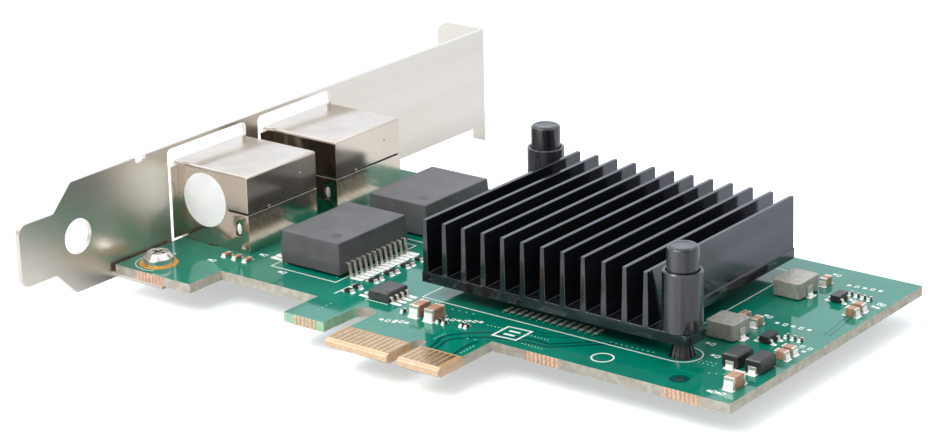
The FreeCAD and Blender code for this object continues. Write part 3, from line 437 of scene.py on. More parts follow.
def register(
    piece: bpy.types.Object, replaced: Sequence[str] = ()
) -> bpy.types.Object:
    """Hangs a new piece on the body that it rides on and hides the CAD nodes that it stands for.

    Args:
        piece: The new piece.
        replaced: CAD nodes that it stands for.

    Returns:
        The same piece.
    """
    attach(piece, BODY)
    if replaced:
        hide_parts(*replaced)
    LOG.info("built %s", piece.name)
    return piece


def write_piece(
    name: str, mesh: bmesh.types.BMesh, finishes: Sequence[Finish], smooth_angle: float = 35.0
) -> bpy.types.Object:
    """Turns a mesh in millimetres into an object in metres.

    Args:
        name: The piece's name.
        mesh: The mesh, freed here.
        finishes: Finishes in the order of the faces' material numbers.
        smooth_angle: Degrees between faces above which an edge stays sharp.

    Returns:
        The new object.
    """
    bmesh.ops.scale(mesh, vec=(MM, MM, MM), verts=mesh.verts)
    bmesh.ops.recalc_face_normals(mesh, faces=mesh.faces)
    data = bpy.data.meshes.new(name)
    mesh.to_mesh(data)
    mesh.free()
    for finish in finishes:
        data.materials.append(finish.material())
    data.shade_smooth()
    data.set_sharp_from_angle(angle=math.radians(smooth_angle))
    piece = bpy.data.objects.new(name, data)
    bpy.context.scene.collection.objects.link(piece)
    return piece


def skin(
    mesh: bmesh.types.BMesh, rings: Sequence[Sequence[Sequence[float]]], closed: bool = False
) -> None:
    """Joins rings of corners into one closed form.

    Args:
        mesh: The mesh that gets it.
        rings: The corners of each ring in order, or one corner where the form ends in a point.
        closed: Whether the last ring joins the first.
    """
    made = [[mesh.verts.new(corner) for corner in ring] for ring in rings]
    around = max(len(ring) for ring in made)
    for near, far in zip(made, made[1:] + (made[:1] if closed else [])):
        for index in range(around):
            other = (index + 1) % around
            corners = (
                near[index % len(near)], near[other % len(near)],
                far[other % len(far)], far[index % len(far)],
            )
            mesh.faces.new(tuple(dict.fromkeys(corners)))
    for end in (made[0][::-1], made[-1]):
        if len(end) > 2 and not closed:
            mesh.faces.new(end)


def prism(mesh: bmesh.types.BMesh, outline: Sequence[Point], low: float, high: float) -> None:
    """Adds a closed prism that stands on an outline."""
    skin(mesh, [[(x, y, level) for x, y in outline] for level in (low, high)])


def arc(centre: Point, radius: float, start: float, end: float, steps: int) -> list[Point]:
    """Gives points on an arc, from one angle in degrees to another."""
    angles = [math.radians(start + (end - start) * step / steps) for step in range(steps + 1)]
    return [(centre[0] + radius * math.cos(a), centre[1] + radius * math.sin(a)) for a in angles]


def dot(
    mesh: bmesh.types.BMesh, centre: Point, radius: float, low: float, high: float, sides: int
) -> None:
    """Adds a small flat disc."""
    prism(mesh, arc(centre, radius, 0, 360 * (sides - 1) / sides, sides - 1), low, high)


def stripe(
    mesh: bmesh.types.BMesh,
    line: Sequence[Point],
    width: float,
    height: float,
    closed: bool = False,
) -> None:
    """Lays a flat stripe on the board along a line, with mitred corners.

    Args:
        mesh: The mesh that gets it.
        line: The points of its centre line.
        width: Its width.
        height: Its height.
        closed: Whether the last point joins the first.
    """
    least_mitre = 0.35
    low, high = BOARD_TOP, BOARD_TOP + height
    points = [Vector(point) for point in line]
    runs = [after - before for before, after in zip(points, points[1:] + points[:1])]
    rings = []
    for index, point in enumerate(points):
        ways = []
        if index or closed:
            ways.append(runs[index - 1].normalized())
        if index < len(points) - 1 or closed:
            ways.append(runs[index].normalized())
        way = sum(ways, Vector((0.0, 0.0))).normalized()
        spread = width / 2 / max(least_mitre, abs(way.dot(ways[0])))
        aside = Vector((-way.y, way.x)) * spread
        left, right = point + aside, point - aside
        rings.append([(*left, low), (*right, low), (*right, high), (*left, high)])
    skin(mesh, rings, closed)


def cushion(mesh: bmesh.types.BMesh, foot: Area, height: float) -> None:
    """Lays a pad of solder with a crowned top on the board.

    Args:
        mesh: The mesh that gets it.
        foot: Low x, low y, high x and high y of its foot.
        height: Height of the crown.
    """
    corner_share, corner_loss = 0.35, 0.2
    x0, y0, x1, y1 = foot
    half = min(x1 - x0, y1 - y0) / 2
    rings = []
    for inset, level in ((0.0, 0.0), (0.12, 0.45), (0.3, 0.8), (0.62, 1.0)):
        corner = half * (corner_share - inset * corner_loss)
        left, near = x0 + half * inset, y0 + half * inset
        right, far = x1 - half * inset, y1 - half * inset
        outline = [
            (left + corner, near), (right - corner, near), (right, near + corner),
            (right, far - corner), (right - corner, far), (left + corner, far),
            (left, far - corner), (left, near + corner),
        ]
        rings.append([(x, y, BOARD_TOP + height * level) for x, y in outline])
    skin(mesh, rings)


def solder_ramp(
    mesh: bmesh.types.BMesh, foot: Point, way: Point, reach: float, rise: float, width: float
) -> None:
    """Adds the hollow ramp of solder from the board up the end of a part.

    Args:
        mesh: The mesh that gets it.
        foot: Middle of the part's end face, seen from above.
        way: Unit direction away from the part.
        reach: How far the ramp runs out.
        rise: How far it climbs.
        width: Its width.
    """
    steps = 5
    hollow = 2.2
    film = 0.02
    narrowest, spread, top_share = 0.96, 0.1, 0.9
    rings = []
    for step in range(steps + 1):
        share = step / steps
        out = reach * share
        level = BOARD_TOP + rise * (1 - share) ** hollow + film
        half = width / 2 * (narrowest + spread * share)
        top = half * top_share
        rings.append([
            (foot[0] + way[0] * out - way[1] * side, foot[1] + way[1] * out + way[0] * side, height)
            for side, height in ((-half, BOARD_TOP), (half, BOARD_TOP), (top, level), (-top, level))
        ])
    skin(mesh, rings)


def solder_end(
    mesh: bmesh.types.BMesh, end: Box, home: Vector, pad: Sizes, ramp: Sizes
) -> None:
    """Lays the pad and the ramp of solder at one metal end of a part.

    Args:
        mesh: The mesh that gets them.
        end: Lowest and highest corner of the end.
        home: Middle of the part.
        pad: How far the pad reaches out, its width as a share of the end's, and its crown.
        ramp: How far the ramp runs out and climbs, and its width as a share of the end's.
    """
    most_under = 0.8
    low, high = end
    gap = (low + high) / 2 - home
    along = 0 if abs(gap.x) > abs(gap.y) else 1
    across = 1 - along
    sign = math.copysign(1, gap[along])
    width = high[across] - low[across]
    half = width * pad[1] / 2
    middle = (low[across] + high[across]) / 2
    face = high[along] if sign > 0 else low[along]
    under = min(high[along] - low[along], most_under)
    near, far = sorted((face - sign * under, face + sign * pad[0]))
    # Each spot is given along the end and then across it, and is turned into x and y.
    spots = ((near, middle - half), (far, middle + half), (face, middle), (sign, 0.0))
    first, last, foot, way = (spot[::-1] if along else spot for spot in spots)
    cushion(mesh, (*first, *last), pad[2])
    solder_ramp(mesh, foot, way, ramp[0], ramp[1], width * ramp[2])


def lathe(mesh: bmesh.types.BMesh, profile: Sequence[Point], centre: Place) -> None:
    """Adds a turned shape: a closed profile of radius and height, spun round Z.

    Args:
        mesh: The mesh that gets it.
        profile: Radius and height of each corner, from the axis and back to it, or all round.
        centre: Where the profile's zero stands.
    """
    sides = 72
    rings = []
    for radius, height in profile:
        turns = [math.tau * turn / sides for turn in range(sides if radius > 1e-6 else 1)]
        rings.append([
            (centre[0] + radius * math.cos(turn), centre[1] + radius * math.sin(turn),
             centre[2] + height)
            for turn in turns
        ])
    skin(mesh, rings, closed=profile[0][0] > 1e-6)


def bead(mesh: bmesh.types.BMesh, place: Place, half: Sizes, around: int, rows: int) -> None:
    """Adds a smooth bead, round or flattened.

    Args:
        mesh: The mesh that gets it.
        place: Its middle.
        half: Half its size along each axis.
        around: Facets round it.
        rows: Facets from its lowest to its highest point.
    """
    form = Matrix.Translation(place) @ Matrix.Diagonal((*half, 1.0))
    bmesh.ops.create_uvsphere(mesh, u_segments=around, v_segments=rows, radius=1.0, matrix=form)


def rounded_profile(profile: Sequence[Point], radius: float) -> list[Point]:
    """Rounds the corners of an open profile, apart from its two ends.

    Args:
        profile: Its corners in order.
        radius: Reach of each round, less where a side is short.

    Returns:
        The points of the rounded profile.
    """
    steps = 4
    most_of_side = 0.45
    made = [profile[0]]
    for before, here, after in zip(profile, profile[1:], profile[2:]):
        corner = Vector(here)
        back, ahead = Vector(before) - corner, Vector(after) - corner
        reach = min(radius, back.length * most_of_side, ahead.length * most_of_side)
        start = corner + back.normalized() * reach
        end = corner + ahead.normalized() * reach
        for step in range(steps + 1):
            share = step / steps
            place = start * (1 - share) ** 2 + corner * 2 * share * (1 - share) + end * share ** 2
            made.append((place.x, place.y))
    made.append(profile[-1])
    return made


def node_mesh(node: str) -> bmesh.types.BMesh:
    """Copies a CAD node's mesh in millimetres, joined and with flat faces whole.

    Args:
        node: The CAD node.

    Returns:
        The copy.
    """
    join_distance = 0.002
    flat_angle = math.radians(0.6)
    mesh = bmesh.new()
    mesh.from_mesh(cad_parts[node].data)
    bmesh.ops.scale(mesh, vec=(1 / MM, 1 / MM, 1 / MM), verts=mesh.verts)
    bmesh.ops.remove_doubles(mesh, verts=mesh.verts, dist=join_distance)
    bmesh.ops.dissolve_limit(mesh, angle_limit=flat_angle, verts=mesh.verts, edges=mesh.edges)
    return mesh


def box_mm(node: str) -> Box:
    """Gives a CAD node's lowest and highest corner in millimetres."""
    low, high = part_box(node)
    return Vector(low) / MM, Vector(high) / MM


def islands(node: str) -> list[Box]:
    """Measures each solid of a CAD node.

    Args:
        node: The CAD node.

    Returns:
        The lowest and highest corner of each solid, in millimetres, in order of their place.
    """
    mesh = node_mesh(node)
    left = set(mesh.verts)
    boxes = []
    while left:
        stack = [left.pop()]
        found = []
        while stack:
            vert = stack.pop()
            found.append(vert.co.copy())
            for edge in vert.link_edges:
                other = edge.other_vert(vert)
                if other in left:
                    left.remove(other)
                    stack.append(other)
        axes = list(zip(*found))
        boxes.append((Vector([min(axis) for axis in axes]), Vector([max(axis) for axis in axes])))
    mesh.free()
    return sorted(boxes, key=lambda box: tuple(box[0]))


def bevel_object(piece: bpy.types.Object, width: float, segments: int, angle: float) -> None:
    """Rounds the sharp edges of an object and keeps the result as its mesh.

    Args:
        piece: The object.
        width: Width of the round in millimetres.
        segments: Facets across the round.
        angle: Degrees between faces above which an edge is rounded.
    """
    round_off = piece.modifiers.new("edge_round", "BEVEL")
    round_off.width = width * MM
    round_off.segments = segments
    round_off.limit_method = "ANGLE"
    round_off.angle_limit = math.radians(angle)
    round_off.harden_normals = True
    round_off.miter_outer = "MITER_ARC"
    piece.data.shade_smooth()
    graph = bpy.context.evaluated_depsgraph_get()
    rounded = bpy.data.meshes.new_from_object(piece.evaluated_get(graph))
    piece.modifiers.clear()
    old = piece.data
    piece.data = rounded
    rounded.name = piece.name
    bpy.data.meshes.remove(old)


def softened(
    node: str,
    finishes: Sequence[Finish],
    width: float,
    segments: int = 2,
    angle: float = 38.0,
    choose: Callable[[bmesh.types.BMFace], int] | None = None,
) -> bpy.types.Object:
    """Stands a piece with rounded edges in a CAD node's place.

    Args:
        node: The CAD node.
        finishes: The piece's finishes.
        width: Width of the edge rounds in millimetres.
        segments: Facets across a round.
        angle: Degrees between faces above which an edge is rounded.
        choose: Gives a face's material number.

    Returns:
        The new piece.
    """
    mesh = node_mesh(node)
    if choose:
        for face in mesh.faces:
            face.material_index = choose(face)
    piece = write_piece(f"{node}_dressed", mesh, finishes)
    bevel_object(piece, width, segments, angle)
    return register(piece, [node])


# ---------------------------------------------------------------- sub-assemblies


@dataclass
class Board:
    """The bare board with its mask, cut edges, gold fingers and printed marks."""

    mask_end: float = 6.3
    fingers: Point = (-12.75, 9.75)
    contact_round: float = 0.02
    tab_left: float = -27.5
    tab_top: float = 13.0
    bracket_side: float = -55.0
    nose_below_mask: float = 1.0
    nose_trim: float = 0.5
    land_crown: float = 0.05
    groove_pitch: float = 0.74
    groove_radius: float = 0.25
    groove_inset: float = 0.06
    groove_levels: Point = (-0.80, 0.78)
    ink_height: float = 0.018
    ink_width: float = 0.22
    sink_print: Area = (-11.1, 22.2, 30.5, 63.6)
    lobe_radius: float = 3.0
    lobe_places: Point = (-15.1, 34.5)
    module_print: Area = (-39.6, 19.5, -26.3, 39.9)
    module_pitch: float = 22.2
    near_screw: Point = (-55.55, 10.4)
    track_height: float = 0.012
    track_width: float = 0.3
    wide_gap: float = 0.52
    fine_gap: float = 0.208
    via_radius: float = 0.13
    via_height: float = 0.02
    alignment_spot: Point = (39.1, 17.2)
    window_radius: float = 1.5
    window_height: float = 0.01
    dot_radius: float = 0.55
    dot_height: float = 0.03

    def zone(self, face: bmesh.types.BMFace) -> Zone:
        """Tells which kind of face on the board this is.

        Args:
            face: The face, in millimetres.

        Returns:
            Its kind.
        """
        flat, square, sloped = 0.95, 0.9, 0.2
        margin = 0.1
        left, right = self.fingers
        centre = face.calc_center_median()
        if abs(face.normal.z) > flat:
            bare = left < centre.x < right and centre.y < self.mask_end
            return Zone.BARE if bare else Zone.MASKED
        low_enough = centre.y < self.mask_end - self.nose_below_mask
        at_nose = low_enough and left - margin < centre.x < right + margin
        if at_nose or abs(face.normal.z) > sloped:
            return Zone.NOSE
        if face.normal.x < -square and centre.x < self.bracket_side:
            return Zone.BROWN
        in_tab = self.tab_left < centre.x < left and centre.y < self.tab_top
        return Zone.STAINED if in_tab else Zone.CUT

    def build_board(self) -> None:
        """Stands the dressed board in its node's place."""
        mesh = node_mesh("circuit_board")
        bmesh.ops.bisect_plane(
            mesh,
            geom=[*mesh.verts, *mesh.edges, *mesh.faces],
            dist=1e-4,
            plane_co=(0.0, self.mask_end, 0.0),
            plane_no=(0.0, 1.0, 0.0),
        )
        mesh.normal_update()
        for face in mesh.faces:
            face.material_index = self.zone(face).value
        front = min(vert.co.y for vert in mesh.verts)
        for vert in mesh.verts:
            if vert.co.y < front + 0.01:
                vert.co.y += self.nose_trim
        finishes = [MASK, LAMINATE_EDGE, BARE_LAMINATE, NOSE_LAMINATE, STAINED_EDGE, BROWN_EDGE]
        piece = write_piece("circuit_board_dressed", mesh, finishes, smooth_angle=30.0)
        register(piece, ["circuit_board"])

    def build_metal(self) -> None:
        """Dresses the fingers, the rings under the screws and the row of bare lands."""
        softened("edge_contacts", [GOLD], self.contact_round)
        softened("screw_lands", [COPPER], self.contact_round)
        mesh = bmesh.new()
        for low, high in islands("land_row"):
            cushion(mesh, (low.x, low.y, high.x, high.y), self.land_crown)
        piece = write_piece("land_row_dressed", mesh, [LEVELLED_TIN], smooth_angle=50.0)
        register(piece, ["land_row"])

    def build_combs(self) -> None:
        """Adds the copper-faced grooves that the panel tabs leave on the cut edges."""
        mesh = bmesh.new()
        for left, right, edge in (
            (14.8, 21.1, 13.55), (38.8, 45.4, 13.55), (-22.7, -17.8, 5.25), (-56.2, -49.8, 5.85)
        ):
            for number in range(int((right - left) / self.groove_pitch)):
                centre = (left + (number + 0.5) * self.groove_pitch, edge + self.groove_inset)
                prism(mesh, arc(centre, self.groove_radius, 180, 360, 8), *self.groove_levels)
        register(write_piece("edge_tabs", mesh, [COMB_COPPER]))

    def ink_piece(self, name: str, lines: Sequence[Line]) -> None:
        """Prints white lines on the board.

        Args:
            name: The piece's name.
            lines: For each line its points, its width and whether it closes.
        """
        mesh = bmesh.new()
        for points, width, closed in lines:
            stripe(mesh, points, width, self.ink_height, closed)
        register(write_piece(name, mesh, [INK]))

    def build_outlines(self) -> None:
        """Prints the outlines round the heat sink, the modules and the small parts."""
        left, near, right, far = self.sink_print
        lobe = self.lobe_radius
        far_lobe, near_lobe = self.lobe_places
        sink = [(left, near), *arc((near_lobe, near + lobe), lobe, -90, 90, 18)]
        sink += [(right, near + 2 * lobe), (right, far)]
        sink += [*arc((far_lobe, far - lobe), lobe, 90, 270, 18), (left, far - 2 * lobe)]
        lines: list[Line] = [(sink, self.ink_width, True)]
        left, near, right, far = self.module_print
        for shift in (0.0, self.module_pitch):
            low, high = near + shift, far + shift
            lines.append(([(left, low), (right, low), (right, high), (left, high)], 0.2, True))
        lines += [
            ([(-23.3, 15.6), (-23.3, 19.6)], 0.24, False),
            ([(-17.9, 16.55), (-13.5, 16.55)], 0.18, False),
            (arc(self.near_screw, 3.7, 160, 300, 20), 0.13, False),
            (arc((25.65, 17.55), 1.65, 0, 348, 29), 0.26, True),
        ]
        self.ink_piece("printed_outlines", lines)

    def build_marks(self) -> None:
        """Prints plain generic marks where the parts' numbers stand."""
        bar, bar_width = 0.32, 0.62
        side, rise, frame_width = 0.25, 0.4, 0.16
        groups = (
            ((-2.3, 16.9), 4, (0.95, 0.27)), ((0.9, 18.2), 3, (0.9, 0.3)),
            ((-10.4, 11.2), 3, (1.1, 0.12)), ((-8.2, 12.0), 3, (0.9, 0.15)),
            ((35.2, 31.0), 2, (0.9, -0.1)), ((38.3, 27.4), 2, (0.9, -0.15)),
            ((36.5, 45.3), 2, (0.8, -0.3)), ((39.4, 43.6), 5, (1.35, 0.05)),
            ((47.0, 36.2), 2, (0.25, 1.4)), ((48.4, 36.0), 2, (0.25, 1.4)),
            ((40.4, 63.4), 5, (1.3, 0.15)), ((47.9, 57.6), 2, (0.25, 1.4)),
            ((48.7, 57.4), 2, (0.2, 1.4)), ((36.2, 66.4), 2, (0.8, -0.2)),
            ((44.9, 15.9), 4, (0.75, 0.02)), ((-36.6, 18.2), 2, (0.8, 0.0)),
            ((-44.4, 22.6), 2, (0.8, 0.0)), ((-49.6, 16.0), 2, (0.8, 0.0)),
            ((-40.6, 24.0), 2, (0.0, 0.9)), ((-57.2, 14.6), 2, (0.8, 0.1)),
        )
        lines: list[Line] = []
        for start, count, step in groups:
            for number in range(count):
                x = start[0] + step[0] * number
                y = start[1] + step[1] * number
                if number % 2:
                    corners = [(x - side, y - rise), (x + side, y - rise), (x + side, y + rise),
                               (x - side, y + rise)]
                    lines.append((corners, frame_width, True))
                else:
                    lines.append(([(x - bar, y), (x + bar, y)], bar_width, False))
        self.ink_piece("printed_marks", lines)

    def build_symbol(self) -> None:
        """Prints a plain framed block with two bars, which stands for nothing."""
        self.ink_piece("printed_block", [
            ([(7.2, 15.6), (11.3, 15.9), (11.3, 20.0), (7.2, 19.7)], 0.34, True),
            ([(8.3, 17.0), (10.2, 17.1)], 0.5, False),
            ([(8.3, 18.4), (10.2, 18.5)], 0.5, False),
        ])

    def build_tracks(self) -> None:
        """Lays the tracks and the gaps beside them that show through the mask."""
        wide, fine = self.wide_gap, self.fine_gap
        gaps = (
            (wide, [(2.6, 6.4), (2.2, 8.4), (1.6, 10.2), (1.9, 11.9), (3.2, 13.6), (6.2, 16.2),
                    (11.0, 17.2), (13.6, 17.6), (16.2, 17.4), (22.0, 22.6)]),
            (wide, [(3.6, 6.4), (3.3, 8.3), (2.9, 9.8), (3.5, 11.4), (6.7, 14.3), (11.2, 15.9),
                    (13.8, 16.3), (16.8, 16.4), (24.0, 22.9)]),
            (wide, [(7.0, 6.4), (6.6, 10.4), (7.0, 12.2)]),
            (fine, [(10.7, 19.4), (14.2, 19.7), (17.0, 21.1), (18.2, 22.5)]),
            (fine, [(10.7, 20.3), (13.6, 20.5), (15.4, 21.6), (15.8, 24.0)]),
            *((fine, [(-20.0, y), (-15.5, y - 4.0), (-13.0, y - 4.0)])
              for y in (41.0, 42.0, 46.0, 47.0)),
            (fine, [(33.0, 31.0), (32.4, 33.0), (32.4, 40.0)]),
            (fine, [(47.6, 43.0), (47.2, 47.0), (45.6, 58.5)]),
            (fine, [(48.4, 43.5), (48.0, 47.5), (46.4, 58.9)]),
        )
        mesh = bmesh.new()
        for width, line in gaps:
            stripe(mesh, line, width, self.track_height)
        register(write_piece("track_gaps", mesh, [MASKED_TRACK]))
        mesh = bmesh.new()
        for line in (
            [(-11.2, 7.0), (-11.2, 12.0), (-14.0, 15.0)], [(-10.2, 7.0), (-10.2, 11.6)],
            [(-8.2, 7.0), (-8.2, 12.6), (-10.2, 14.6)], [(-44.0, 24.0), (-41.0, 24.0)],
            [(-44.0, 26.0), (-41.0, 26.0)], [(42.0, 20.0), (36.0, 20.0), (33.0, 17.0)],
        ):
            stripe(mesh, line, self.track_width, self.track_height)
        register(write_piece("covered_tracks", mesh, [MASKED_COPPER]))

    def build_vias(self) -> None:
        """Adds the rows of small filled holes that stitch the copper layers."""
        rows = (
            ((4.3, 18.4), (6.8, 18.6), 5), ((11.6, 18.6), (15.2, 18.6), 7),
            ((12.8, 15.4), (16.4, 15.3), 7), ((7.6, 7.4), (7.6, 10.4), 5),
            ((1.0, 9.6), (1.0, 12.0), 5), ((-4.1, 20.6), (-0.3, 20.9), 4),
            ((2.9, 24.0), (19.4, 24.0), 14), ((23.3, 23.2), (30.6, 23.4), 9),
            ((38.0, 24.9), (40.4, 24.9), 4), ((38.0, 24.0), (40.4, 24.0), 4),
            ((41.4, 21.4), (44.4, 22.6), 4), ((5.0, 12.4), (6.2, 12.7), 2),
            ((-21.0, 9.0), (-21.0, 12.0), 4), ((-27.6, 21.4), (-27.6, 24.0), 3),
        )
        mesh = bmesh.new()
        for start, end, count in rows:
            for number in range(count):
                share = number / (count - 1)
                spot = tuple(a + (b - a) * share for a, b in zip(start, end))
                dot(mesh, spot, self.via_radius, BOARD_TOP, BOARD_TOP + self.via_height, 10)
        register(write_piece("stitching_vias", mesh, [VIA_FILL]))

    def build_alignment(self) -> None:
        """Adds the round gold alignment dot in its dark window."""
        for name, slot, finish, radius, height, sides in (
            ("window", "board", MASKED_TRACK, self.window_radius, self.window_height, 40),
            ("dot", "gold", GOLD, self.dot_radius, self.dot_height, 28),
        ):
            mesh = bmesh.new()
            dot(mesh, self.alignment_spot, radius, BOARD_TOP, BOARD_TOP + height, sides)
            register(write_piece(f"alignment_{name}", mesh, [finish]))

    def build(self) -> None:
        """Builds everything that belongs to the bare board."""
        self.build_board()
        self.build_metal()
        self.build_combs()
        self.build_outlines()
        self.build_marks()
        self.build_symbol()
        self.build_tracks()
        self.build_vias()
        self.build_alignment()


@dataclass
class Bracket:
    """The slot bracket and the two screws that hold the board to it."""

    edge_round: float = 0.12
    screw_round: float = 0.10

    def build(self) -> None:
        """Dresses the sheet and the screws."""
        softened("mounting_bracket", [NICKEL], self.edge_round, angle=50.0)
        softened("bracket_screws", [SCREW_STEEL], self.screw_round, 3, angle=30.0)


@dataclass
class Jack:
    """One shielded jack: shell, insulator, spring wires and light bars."""

    number: int
    dimple_half: Sizes = (0.098, 0.28, 0.28)
    dimple_places: tuple[Point, Point] = ((0.3, 0.52), (0.76, 0.78))
    dimple_sink: float = 0.02
    latch_half: Sizes = (0.48, 0.22, 0.98)
    latch_back: float = 2.1
    latch_level: float = 3.85
    latch_sink: float = 0.16
    flange_back: float = 0.9
    flange_thick: float = 0.2
    flange_reach: float = 1.7
    flange_foot: float = 0.2
    flange_drop: float = 0.5
    flange_round: float = 0.06

    def node(self, part: str) -> str:
        """Gives the name of one of the jack's nodes or pieces."""
        return f"jack_{self.number}_{part}"

    def build_dimples(self) -> None:
        """Adds the small pressed dimples on the shell's rear panel."""
        low, high = box_mm(self.node("shield"))
        mesh = bmesh.new()
        for across, level in self.dimple_places:
            place = (
                high.x - self.dimple_sink,
                low.y + (high.y - low.y) * across,
                BOARD_TOP + (high.z - BOARD_TOP) * level,
            )
            bead(mesh, place, self.dimple_half, 16, 8)
        register(write_piece(self.node("dimples"), mesh, [SHELL], smooth_angle=60.0))

    def build_latches(self) -> None:
        """Adds the pale latches of the insulator that show in the shell's side holes."""
        low, high = box_mm(self.node("shield"))
        mesh = bmesh.new()
        for side, wall in ((-1, low.y), (1, high.y)):
            middle = wall - side * self.latch_sink
            place = (high.x - self.latch_back, middle, BOARD_TOP + self.latch_level)
            bead(mesh, place, self.latch_half, 20, 12)
        piece = write_piece(self.node("latches"), mesh, [LATCH_NYLON], smooth_angle=60.0)
        register(piece)

    def build_flange(self) -> None:
        """Adds the shell's turned-out flange, which closes the gap in the bracket's window."""
        low, high = box_mm(self.node("shield"))
        front = low.x + self.flange_back
        back = front + self.flange_thick
        edge = low.y - self.flange_reach
        mesh = bmesh.new()
        corners = [(front, edge), (back, edge), (back, low.y), (front, low.y)]
        prism(mesh, corners, BOARD_TOP + self.flange_foot, high.z - self.flange_drop)
        piece = write_piece(self.node("flange"), mesh, [SHELL])
        bevel_object(piece, width=self.flange_round, segments=2, angle=40.0)
        register(piece)

    def build(self) -> None:
        """Dresses the jack's pieces."""
        for part, slot, finish, edge_round, angle in (
            ("shield", "nickel", SHELL, 0.07, 40.0),
            ("housing", "jack_plastic", JACK_NYLON, 0.06, 40.0),
            ("lights", "light", LIGHT_BAR, 0.08, 38.0),
            ("contacts", "gold", GOLD, 0.04, 25.0),
            ("tails", "tin", TIN, 0.06, 38.0),
        ):
            softened(self.node(part), [finish], edge_round, angle=angle)
        self.build_dimples()
        self.build_latches()
        self.build_flange()


@dataclass
class Package:
    """A moulded package with its leads, pads and solder."""

    name: str
    slot: str
    finish: Finish
    edge_round: float
    pad_length: float
    pad_width: float
    toe_gap: float
    lead_finish: Finish = TIN
    lead_round: float = 0.035
    pad_crown: float = 0.10
    ramp_share: float = 0.8
    ramp_rise: float = 0.16
    ramp_width: float = 0.95
    mark_share: float = 0.075
    mark_inset: float = 3.2
    mark_levels: Point = (-0.01, 0.012)

    def build_dimple(self) -> None:
        """Adds the shallow round ejector mark that shows which corner holds the first lead."""
        low, high = box_mm(f"{self.name}_body")
        size = (high.x - low.x) * self.mark_share
        spot = (high.x - size * self.mark_inset, low.y + size * self.mark_inset)
        below, above = self.mark_levels
        mesh = bmesh.new()
        dot(mesh, spot, size, high.z + below, high.z + above, 28)
        register(write_piece(f"{self.name}_dimple", mesh, [CHIP_MOULDING]))

    def build(self) -> None:
        """Dresses the moulding and the leads, and lays a pad of solder under each toe."""
        body, leads = f"{self.name}_body", f"{self.name}_leads"
        self.build_dimple()
        softened(body, [self.finish], self.edge_round, 3)
        softened(leads, [self.lead_finish], self.lead_round, angle=25.0)
        body_low, body_high = box_mm(body)
        middle = (body_low.x + body_high.x) / 2
        half = self.pad_width / 2
        mesh = bmesh.new()
        for low, high in islands(leads):
            centre = (low + high) / 2
            outward = 1 if centre.x > middle else -1
            toe = high.x if outward > 0 else low.x
            outer = toe + outward * self.toe_gap
            near, far = sorted((outer, outer - outward * self.pad_length))
            cushion(mesh, (near, centre.y - half, far, centre.y + half), self.pad_crown)
            solder_ramp(mesh, (toe, centre.y), (outward, 0.0), self.toe_gap * self.ramp_share,
                        self.ramp_rise, (high.y - low.y) * self.ramp_width)
        register(write_piece(f"{self.name}_solder", mesh, [SOLDER], smooth_angle=60.0))


@dataclass
class Block:
    """A power inductor or rectifier diode with two folded terminals."""

    body: str
    metal: str
    slot: str
    finish: Finish
    edge_round: float
    metal_round: float = 0.04
    pad: Sizes = (0.7, 1.24, 0.08)
    ramp: Sizes = (0.5, 0.55, 0.85)

    def build(self) -> None:
        """Dresses the block and lays solder at its two terminals."""
        softened(self.body, [self.finish], self.edge_round, 3)
        softened(self.metal, [TIN], self.metal_round)
        low, high = box_mm(self.body)
        mesh = bmesh.new()
        for end in islands(self.metal):
            solder_end(mesh, end, (low + high) / 2, self.pad, self.ramp)
        register(write_piece(f"{self.body}_solder", mesh, [SOLDER], smooth_angle=60.0))


@dataclass
class TwoEndedChips:
    """A set of ceramic or resistor chips with metal ends and solder."""

    label: str
    slot: str
    finish: Finish
    edge_round: float
    pad_reach: float
    climb: float
    ceramic_left_of: float = -1000.0
    pad_spread: float = 1.12
    pad_crown: float = 0.07
    ramp_share: float = 0.85

    def body_number(self, face: bmesh.types.BMFace) -> int:
        """Chooses tan ceramic for the bodies beside the first jack."""
        return 1 if face.calc_center_median().x < self.ceramic_left_of else 0

    def build(self) -> None:
        """Dresses the bodies and ends, and adds the pad and ramp of solder at each end."""
        bodies, ends = f"{self.label}_bodies", f"{self.label}_ends"
        finishes = [self.finish, CERAMIC]
        softened(bodies, finishes, self.edge_round, 3, choose=self.body_number)
        softened(ends, [TIN], self.edge_round, 3)
        homes = [(low + high) / 2 for low, high in islands(bodies)]
        pad = (self.pad_reach, self.pad_spread, self.pad_crown)
        mesh = bmesh.new()
        for low, high in islands(ends):
            middle = (low + high) / 2
            home = min(homes, key=lambda place: (place - middle).length)
            ramp = (self.pad_reach * self.ramp_share, (high.z - BOARD_TOP) * self.climb, 1.0)
            solder_end(mesh, (low, high), home, pad, ramp)
        register(write_piece(f"{self.label}_solder", mesh, [SOLDER], smooth_angle=60.0))


